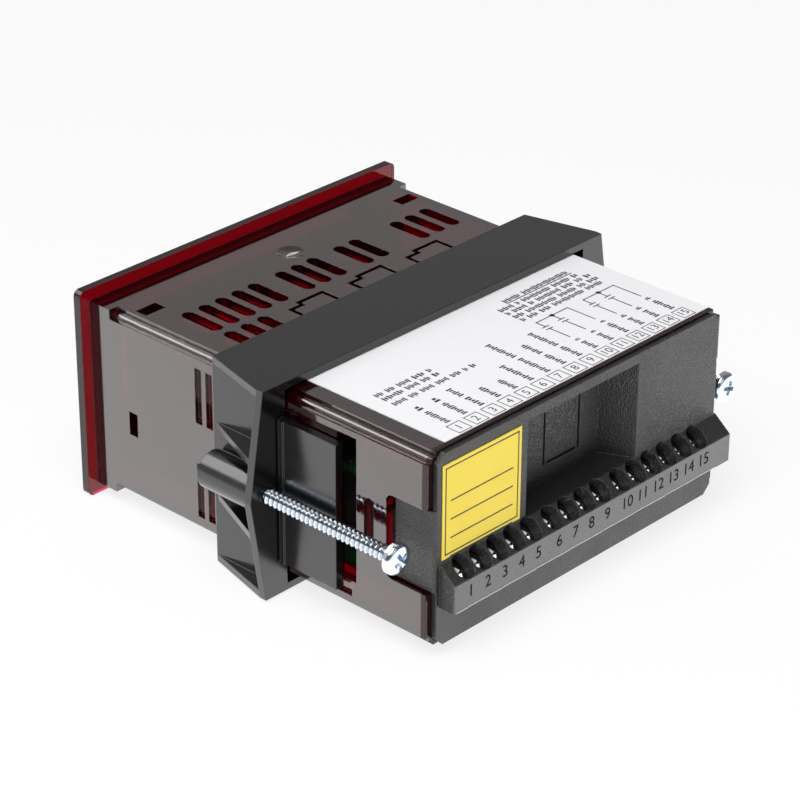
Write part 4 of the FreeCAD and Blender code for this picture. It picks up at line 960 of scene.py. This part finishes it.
def contact_drawing(left):
    """Three legs on a rail, two of them broken by a contact."""
    middle, right = left - BOX_PITCH, left - 2 * BOX_PITCH
    bars = [line(left, right, CONTACT_RAIL, CONTACT_RAIL), line(right, right, CONTACT_RAIL, CONTACT_ENDS[0])]
    for x in (left, middle):
        bars += [line(x, x, CONTACT_RAIL, CONTACT_GAP[0]), line(x, x, CONTACT_GAP[1], CONTACT_ENDS[1])]
        bars += [line(x - CONTACT_HALF, x + CONTACT_HALF, y, y) for y in CONTACT_GAP]
    bars.append((middle - DOT_HALF, middle + DOT_HALF, CONTACT_RAIL - DOT_HALF, CONTACT_RAIL + DOT_HALF))
    return bars


print("bars in a drawing:", len(contact_drawing(CONTACT_LEFT[0])))

# %% Boxed numbers
BOX_BACK = 94.3
BOX_SIZE = 3.6
BOX_STROKE = 0.3
BOX_FIGURE = 2.0
UNDERLINE = (-35.6, -14.6, 64.6, 64.9)


def box_row_recipe():
    """Row of square outlines along -X."""
    tree, given = new_recipe("box_row", ("Count", "Pitch", "Size", "Stroke", "Thickness"))
    quad = "GeometryNodeCurvePrimitiveQuadrilateral"
    square = add(tree, quad, width=given["Size"], height=given["Size"])
    stroke = add(tree, quad, width=given["Stroke"], height=given["Thickness"])
    step = add(tree, "ShaderNodeCombineXYZ", formula(tree, "MULTIPLY", given["Pitch"], -1.0))
    row = add(tree, "GeometryNodeMeshLine", count=given["Count"], offset=step)
    return end_recipe(tree, given, on_points(tree, row, swept(tree, square, stroke)))


label_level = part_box("top_label")[1].z / MM
boxes = cook(box_row_recipe(), "print_ink", count=len(TERMINALS), pitch=BOX_PITCH * MM, size=BOX_SIZE * MM,
             stroke=BOX_STROKE * MM, thickness=PRINT_THICK * MM)
set_at(boxes, FLAT, BOX_FIRST, BOX_BACK, label_level)
drawn = label_lines() + [bar for left in CONTACT_LEFT for bar in contact_drawing(left)] + [UNDERLINE]
lines = set_at(lay_bars("print_ink", drawn, PRINT_THICK), FLAT, 0, 0, label_level)
figures = [set_at(text_mesh(str(i + 1), BOX_FIGURE, PRINT_THICK / 2), FROM_ABOVE, BOX_FIRST - i * BOX_PITCH,
                  BOX_BACK, label_level) for i in range(len(TERMINALS))]
label_print = show("label_print", joined(boxes, lines, *figures), "print_ink", "case")
print("label print faces:", len(label_print.data.polygons))

# %% [markdown]
# ## Lines on the yellow label
# The small label on the rear cover is a plain one to write on: a thin frame and a few ruled lines. They are laid
# out flat as bars, then stood up against the face.

# %% Yellow label
RULED_LEVELS = (10.4, 6.2, 2.0, -2.2)
RULED_INSET = 1.6
FRAME_INSET = 0.9


def ruled_label():
    """Frame and ruled lines on the label, seen from behind with x from its left edge."""
    low, high = box_mm("rear_label")
    left, right = FRAME_INSET, high.x - low.x - FRAME_INSET
    bottom, top = low.z + FRAME_INSET, high.z - FRAME_INSET
    bars = [line(left, right, level, level) for level in (bottom, top)]
    bars += [line(x, x, bottom, top) for x in (left, right)]
    bars += [line(left + RULED_INSET, right - RULED_INSET, level, level) for level in RULED_LEVELS]
    return set_at(lay_bars("print_ink", bars, PRINT_THICK), FROM_BEHIND, high.x, high.y, 0)


show("ruled_lines", ruled_label(), "print_ink", "base")
print("ruled lines:", len(RULED_LEVELS))

# %% [markdown]
# ## Terminal screws
# Deep in every access hole sits a screw head. The solids' flat heads would look black down there, so one head is
# turned with a shallow dish, whose rim catches the light, then slotted, and a recipe copies it to every terminal.

# %% Slotted heads
SLOPE_RUN = 4.2
SLOPE_DROP = 3.4
TERMINAL_HEAD = 1.88
TERMINAL_THICK = 1.6
SLOT_BAR = (-2.2, 2.2, -0.85, 0.3)
SLOT_WIDTH = 0.62


def copies_recipe():
    """Copy of a piece on every point."""
    tree, given = new_recipe("copies", ("Points", "Piece"))
    source = add(tree, "GeometryNodeObjectInfo", object=given["Piece"])
    return end_recipe(tree, given, on_points(tree, given["Points"], source.outputs["Geometry"]))


COPIES = copies_recipe()


def copied_to(mesh, finish, places):
    """One mesh with a copy of a mesh on every place in mm."""
    piece = in_scene("piece", mesh)
    points = bpy.data.meshes.new("points")
    points.from_pydata([Vector(place) * MM for place in places], [], [])
    result = cook(COPIES, finish, points, piece=piece)
    bpy.data.objects.remove(piece)
    return result


def slotted_head():
    """Drum head along +Y with a rounded rim, a shallow dish and a slot."""
    profile = [(0, -TERMINAL_THICK), (TERMINAL_HEAD, -TERMINAL_THICK), (TERMINAL_HEAD, -0.3), (1.84, -0.12),
               (1.74, -0.02), (1.62, 0), (1.5, -0.04), (1.3, -0.17), (1.05, -0.34), (0.8, -0.45), (0, -0.5)]
    mesh = without(turned(profile, 40), lay_bars("zinc_steel", (SLOT_BAR,), SLOT_WIDTH))
    mesh.set_sharp_from_angle(angle=CREASE)
    return mesh


slope = math.atan2(SLOPE_DROP, SLOPE_RUN)
facing = Vector((0, math.sin(slope), math.cos(slope)))
head = slotted_head()
head.transform(Matrix.Rotation(math.pi / 2 - slope, 4, "X"))
screw_low, screw_high = box_mm("terminal_screws")
screw_middle = (screw_low + screw_high) / 2 + facing * (TERMINAL_THICK / 2)
places = [(x, screw_middle.y, screw_middle.z) for x in TERMINALS]
heads = copied_to(head, "zinc_steel", places)
show("slotted_screws", heads, "terminal_steel", "base", "zinc_steel", "terminal_screws")
print("terminal screws:", len(places), "tops at", [round(v, 2) for v in screw_middle])

# %% [markdown]
# ## Small marks of the moulding
# The case was filled through a gate in its top, where a torn nub stands in a shallow dish, and the terminal block
# has a parting line along its lower edge. Both are modelled, and both are coloured pale as a painted highlight.

# %% Gate nub and parting line
DISH_DEPTH = 0.45
NUB_SIDES = 8
NUB_UNEVEN = 0.25
RING_WAVE, SIDE_WAVE = 5.0, 2.3
NUB_PATH = ((0.5, 13.75, 0.14), (-0.1, 13.7, 0.34), (-0.8, 13.7, 0.42), (-1.6, 13.75, 0.34), (-2.3, 13.85, 0.2),
            (-3.0, 14.0, 0.13), (-3.7, 14.1, 0.09))
PARTING_LEVEL = -12.75
PARTING_COUNT = 24
PARTING_HALF = 0.1
PARTING_WANDER = 0.05
PARTING_WAVE = 2.1
PARTING_FILL = 0.97
PARTING_PAST = 2.4


def gate_nub():
    """Crooked ridge that thins out into a tail, through (x, y, radius) points."""
    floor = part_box("top_label")[0].z / MM - DISH_DEPTH
    form = bmesh.new()
    rings = []
    for i, (x, y, radius) in enumerate(NUB_PATH):
        ring = []
        for k in range(NUB_SIDES):
            angle = math.tau * k / NUB_SIDES
            reach = radius * (1 + NUB_UNEVEN * math.sin(RING_WAVE * i + SIDE_WAVE * k))
            place = Vector((x, y + reach * math.cos(angle), floor + reach * math.sin(angle)))
            ring.append(form.verts.new(place * MM))
        rings.append(ring)
    for one, two in zip(rings, rings[1:]):
        for k in range(NUB_SIDES):
            after = (k + 1) % NUB_SIDES
            form.faces.new((one[k], one[after], two[after], two[k]))
    form.faces.new(rings[0])
    form.faces.new(rings[-1])
    bmesh.ops.recalc_face_normals(form, faces=form.faces)
    return mesh_of(form)


def parting_line():
    """Low ridge along the block's lower edge, in short lengths that are not quite in line."""
    left, right = screw_low.x - PARTING_PAST, screw_high.x + PARTING_PAST
    step = (right - left) / PARTING_COUNT
    bars = []
    for i in range(PARTING_COUNT):
        wander = PARTING_WANDER * math.sin(PARTING_WAVE * i)
        start, stop = left + i * step, left + (i + PARTING_FILL) * step
        bars.append((start, stop, wander - PARTING_HALF, wander + PARTING_HALF))
    return set_at(lay_bars("worn_edge", bars, 2 * NUMBER_PROUD), STANDING, 0, number_face, PARTING_LEVEL)


# the parting line ridge is real; its pale colour is a painted highlight
show("parting_line", parting_line(), "worn_edge", "base", "grained_black")
# the nub's shape is real; its pale colour is a painted highlight
show("gate_nub", gate_nub(), "torn_plastic", "case")
print("gate nub:", len(NUB_PATH), "rings, parting line:", PARTING_COUNT, "lengths")

# %% [markdown]
# ## Keys, relays and other moulded blocks
# The solids of small blocks have sharp edges, and no moulding has. A copy of each is merged into clean faces, and
# its outer edges get a bevel that catches a line of light.

# %% Rounded blocks
COPLANAR = math.radians(1)
OUTER_TURN = math.radians(30)
BLOCKS = (("key_left", "key_left", 0.5), ("key_middle", "key_middle", 0.5), ("key_right", "key_right", 0.5),
          ("relay_one", "base", 0.7), ("relay_two", "base", 0.7), ("key_switches", "base", 0.3),
          ("digit_modules", "base", 0.25), ("logic_chip", "base", 0.2), ("input_chip", "base", 0.3))


def rounded_block(node, body, width):
    """Copy of a block with rounded outer edges, in its place."""
    form = merged_copy(node)
    bmesh.ops.dissolve_limit(form, angle_limit=COPLANAR, verts=form.verts, edges=form.edges)
    outer = [edge for edge in form.edges if edge.is_convex and edge.calc_face_angle(0) > OUTER_TURN]
    bmesh.ops.bevel(form, geom=outer, offset=width * MM, segments=3, profile=0.5, affect="EDGES",
                    clamp_overlap=True)
    mesh = mesh_of(form)
    mesh.set_sharp_from_angle(angle=CREASE)
    show(f"{node}_rounded", mesh, SLOT_OF[node], body, SLOT_OF[node], node)


for block in BLOCKS:
    rounded_block(*block)
print("rounded blocks:", len(BLOCKS))

# %% [markdown]
# ## Display
# Five unlit digits stand behind the ruby window, which turns their pale segments dark red. One digit, with seven
# pointed segments and a decimal point, is drawn leaning a little, and copied by the recipe of the terminal
# screws. The two indicator lamps beside them have a domed front.

# %% Digits
SEGMENT_WIDE = 1.5
SEGMENT_THICK = 0.12
ACROSS_LONG, ACROSS_LEVELS = 6.2, (6.35, 0, -6.35)
UPRIGHT_LONG, UPRIGHT_PLACES = 5.9, ((-3.3, -3.18), (-3.3, 3.18), (3.3, -3.18), (3.3, 3.18))
POINT = arc(5.3, -6.4, 0.8, range(0, 360, 30))
DIGIT_SLANT = 0.14
DIGIT_PITCH = 12.7
DIGIT_COUNT = 5
FROM_FRONT = Matrix(((1, 0, 0), (0, 0, -1), (0, 1, 0))).to_4x4()


def segment(x, y, length, upright):
    """Six corners of a pointed segment round its middle."""
    half, nib = length / 2, SEGMENT_WIDE / 2
    shape = ((-half, 0), (nib - half, nib), (half - nib, nib), (half, 0), (half - nib, -nib), (nib - half, -nib))
    return [(x + v, y + u) if upright else (x + u, y + v) for u, v in shape]


def digit_face():
    """Seven segments and a point, as thin plates that lean."""
    outlines = [segment(0, y, ACROSS_LONG, False) for y in ACROSS_LEVELS]
    outlines += [segment(x, y, UPRIGHT_LONG, True) for x, y in UPRIGHT_PLACES]
    form = bmesh.new()
    for outline in (*outlines, POINT):
        corners = [form.verts.new(Vector((x + DIGIT_SLANT * y, y, -SEGMENT_THICK / 2)) * MM) for x, y in outline]
        plate = bmesh.ops.extrude_face_region(form, geom=[form.faces.new(corners)])
        raised = [item for item in plate["geom"] if isinstance(item, bmesh.types.BMVert)]
        bmesh.ops.translate(form, verts=raised, vec=(0, 0, SEGMENT_THICK * MM))
    bmesh.ops.recalc_face_normals(form, faces=form.faces)
    return mesh_of(form)


digit_low, digit_high = box_mm("digit_modules")
digit_middle = (digit_low + digit_high) / 2
face = digit_face()
face.transform(FROM_FRONT)
digit_places = [(digit_middle.x + (i - DIGIT_COUNT // 2) * DIGIT_PITCH, digit_low.y, digit_middle.z)
                for i in range(DIGIT_COUNT)]
show("digit_segments", copied_to(face, "segment_pale", digit_places), "segment_pale", "base")
print("digits:", len(digit_places))

# %% Indicator lamps
LAMP_RADIUS = 1.5
LAMP_FOOT = 1.7


def domed_lamp(front, back):
    """Lamp with a wide foot and a domed front, along Y in mm."""
    dome = arc(0, front + LAMP_RADIUS, LAMP_RADIUS, range(0, -90, -15))
    return turned([(0, back), (LAMP_FOOT, back), (LAMP_FOOT, back - 0.9), (LAMP_RADIUS, back - 1.0), *dome,
                   (0, front)], 24)


lamp_low, lamp_high = box_mm("annunciator_leds")
lamp_level = (lamp_low.z + lamp_high.z) / 2
lamp_places = [(x, 0, lamp_level) for x in (lamp_low.x + LAMP_RADIUS, lamp_high.x - LAMP_RADIUS)]
lamps = copied_to(domed_lamp(lamp_low.y, lamp_high.y), "lamp_red", lamp_places)
show("domed_lamps", lamps, "lamp_red", "base", "lamp_red", "annunciator_leds")
print("lamps:", len(lamp_places))

# %% [markdown]
# ## Capacitors
# A capacitor is an aluminium can in a shrunk sleeve: the sleeve is pinched near the foot and folds over the rim,
# and the bare top has a scored cross. All are turned from one profile.

# %% Capacitors
CAN_SIDES = 48
CAN_OPENING = 1.2
SCORE_INSET = 2.2
SCORE_HALF = 0.12
SCORE_THICK = 0.3


def can_sleeve(radius, height):
    """Sleeve with a pinch near the foot and a fold over the rim."""
    inner, floor = radius - CAN_OPENING, height - 0.2
    return turned([(0, 0), (radius - 0.4, 0), (radius, 0.4), (radius, 1.5), (radius - 0.35, 1.9), (radius, 2.3),
                   (radius, height - 0.5), (radius - 0.5, height), (radius - 1.1, height), (inner, floor),
                   (0, floor)], CAN_SIDES)


def can_top(radius, height):
    """Bare top with a scored cross."""
    edge, low, high = radius - CAN_OPENING, height - 0.5, height - 0.1
    disc = turned([(0, low), (edge, low), (edge, high), (0, high)], CAN_SIDES)
    reach = radius - SCORE_INSET
    for across, along in ((reach, SCORE_HALF), (SCORE_HALF, reach)):
        score = lay_bars("can_top", ((-across, across, -along, along),), SCORE_THICK)
        disc = without(disc, set_at(score, STANDING, 0, height - 0.05, 0))
    return disc


def cans(node, count):
    """Sleeves and tops in the place of a row of plain drums."""
    low, high = box_mm(node)
    radius, height = (high.y - low.y) / 2, high.z - low.z
    step = (high.x - low.x - 2 * radius) / max(1, count - 1)
    places = [(low.x + radius + i * step, low.y + radius, low.z) for i in range(count)]
    rows = (("sleeves", can_sleeve, "can_sleeve", ("can_sleeve", node)), ("tops", can_top, "can_top", ()))
    for part, maker, finish, stands_for in rows:
        form = maker(radius, height)
        form.transform(STANDING)
        form.set_sharp_from_angle(angle=CREASE)
        show(f"{node}_{part}", copied_to(form, finish, places), finish, "base", *stands_for)
    return places


print("capacitors:", len(cans("bulk_capacitor", 1)) + len(cans("output_capacitors", 3)))

# %% [markdown]
# ## Chip legs
# Two chips sit on the upper board. Their legs are bars again: a flat foot on the board, and a short shoulder up
# to the body.

# %% Chip legs
FOOT, FOOT_THICK = 1.0, 0.2
SHOULDER, SHOULDER_THICK = 0.35, 0.9
LEG_HALF = 0.2
CORNER_FREE = 1.2


def leg_bars(low, high, pitch, four_sides, reach):
    """Bars that stand out by a reach from two or from all four sides of a chip."""
    bars = []
    for axis in ((0, 1) if four_sides else (0,)):
        across = 1 - axis
        count = int((high[axis] - low[axis] - CORNER_FREE) / pitch) + 1
        first = (low[axis] + high[axis]) / 2 - (count - 1) * pitch / 2
        for i in range(count):
            middle = first + i * pitch
            along = (middle - LEG_HALF, middle + LEG_HALF)
            for out in ((low[across] - reach, low[across]), (high[across], high[across] + reach)):
                bars.append((*along, *out) if axis == 0 else (*out, *along))
    return bars


def chip_legs(node, pitch, four_sides):
    """Feet and shoulders round a chip."""
    low, high = box_mm(node)
    meshes = []
    for reach, thick in ((FOOT, FOOT_THICK), (SHOULDER, SHOULDER_THICK)):
        mesh = lay_bars("zinc_steel", leg_bars(low, high, pitch, four_sides, reach), thick)
        meshes.append(set_at(mesh, FLAT, 0, 0, low.z + thick / 2))
    return meshes


legs = joined(*chip_legs("logic_chip", 0.8, True), *chip_legs("input_chip", 1.27, False))
show("chip_legs", legs, "zinc_steel", "base")
print("leg bars:", len(legs.polygons) // 6)
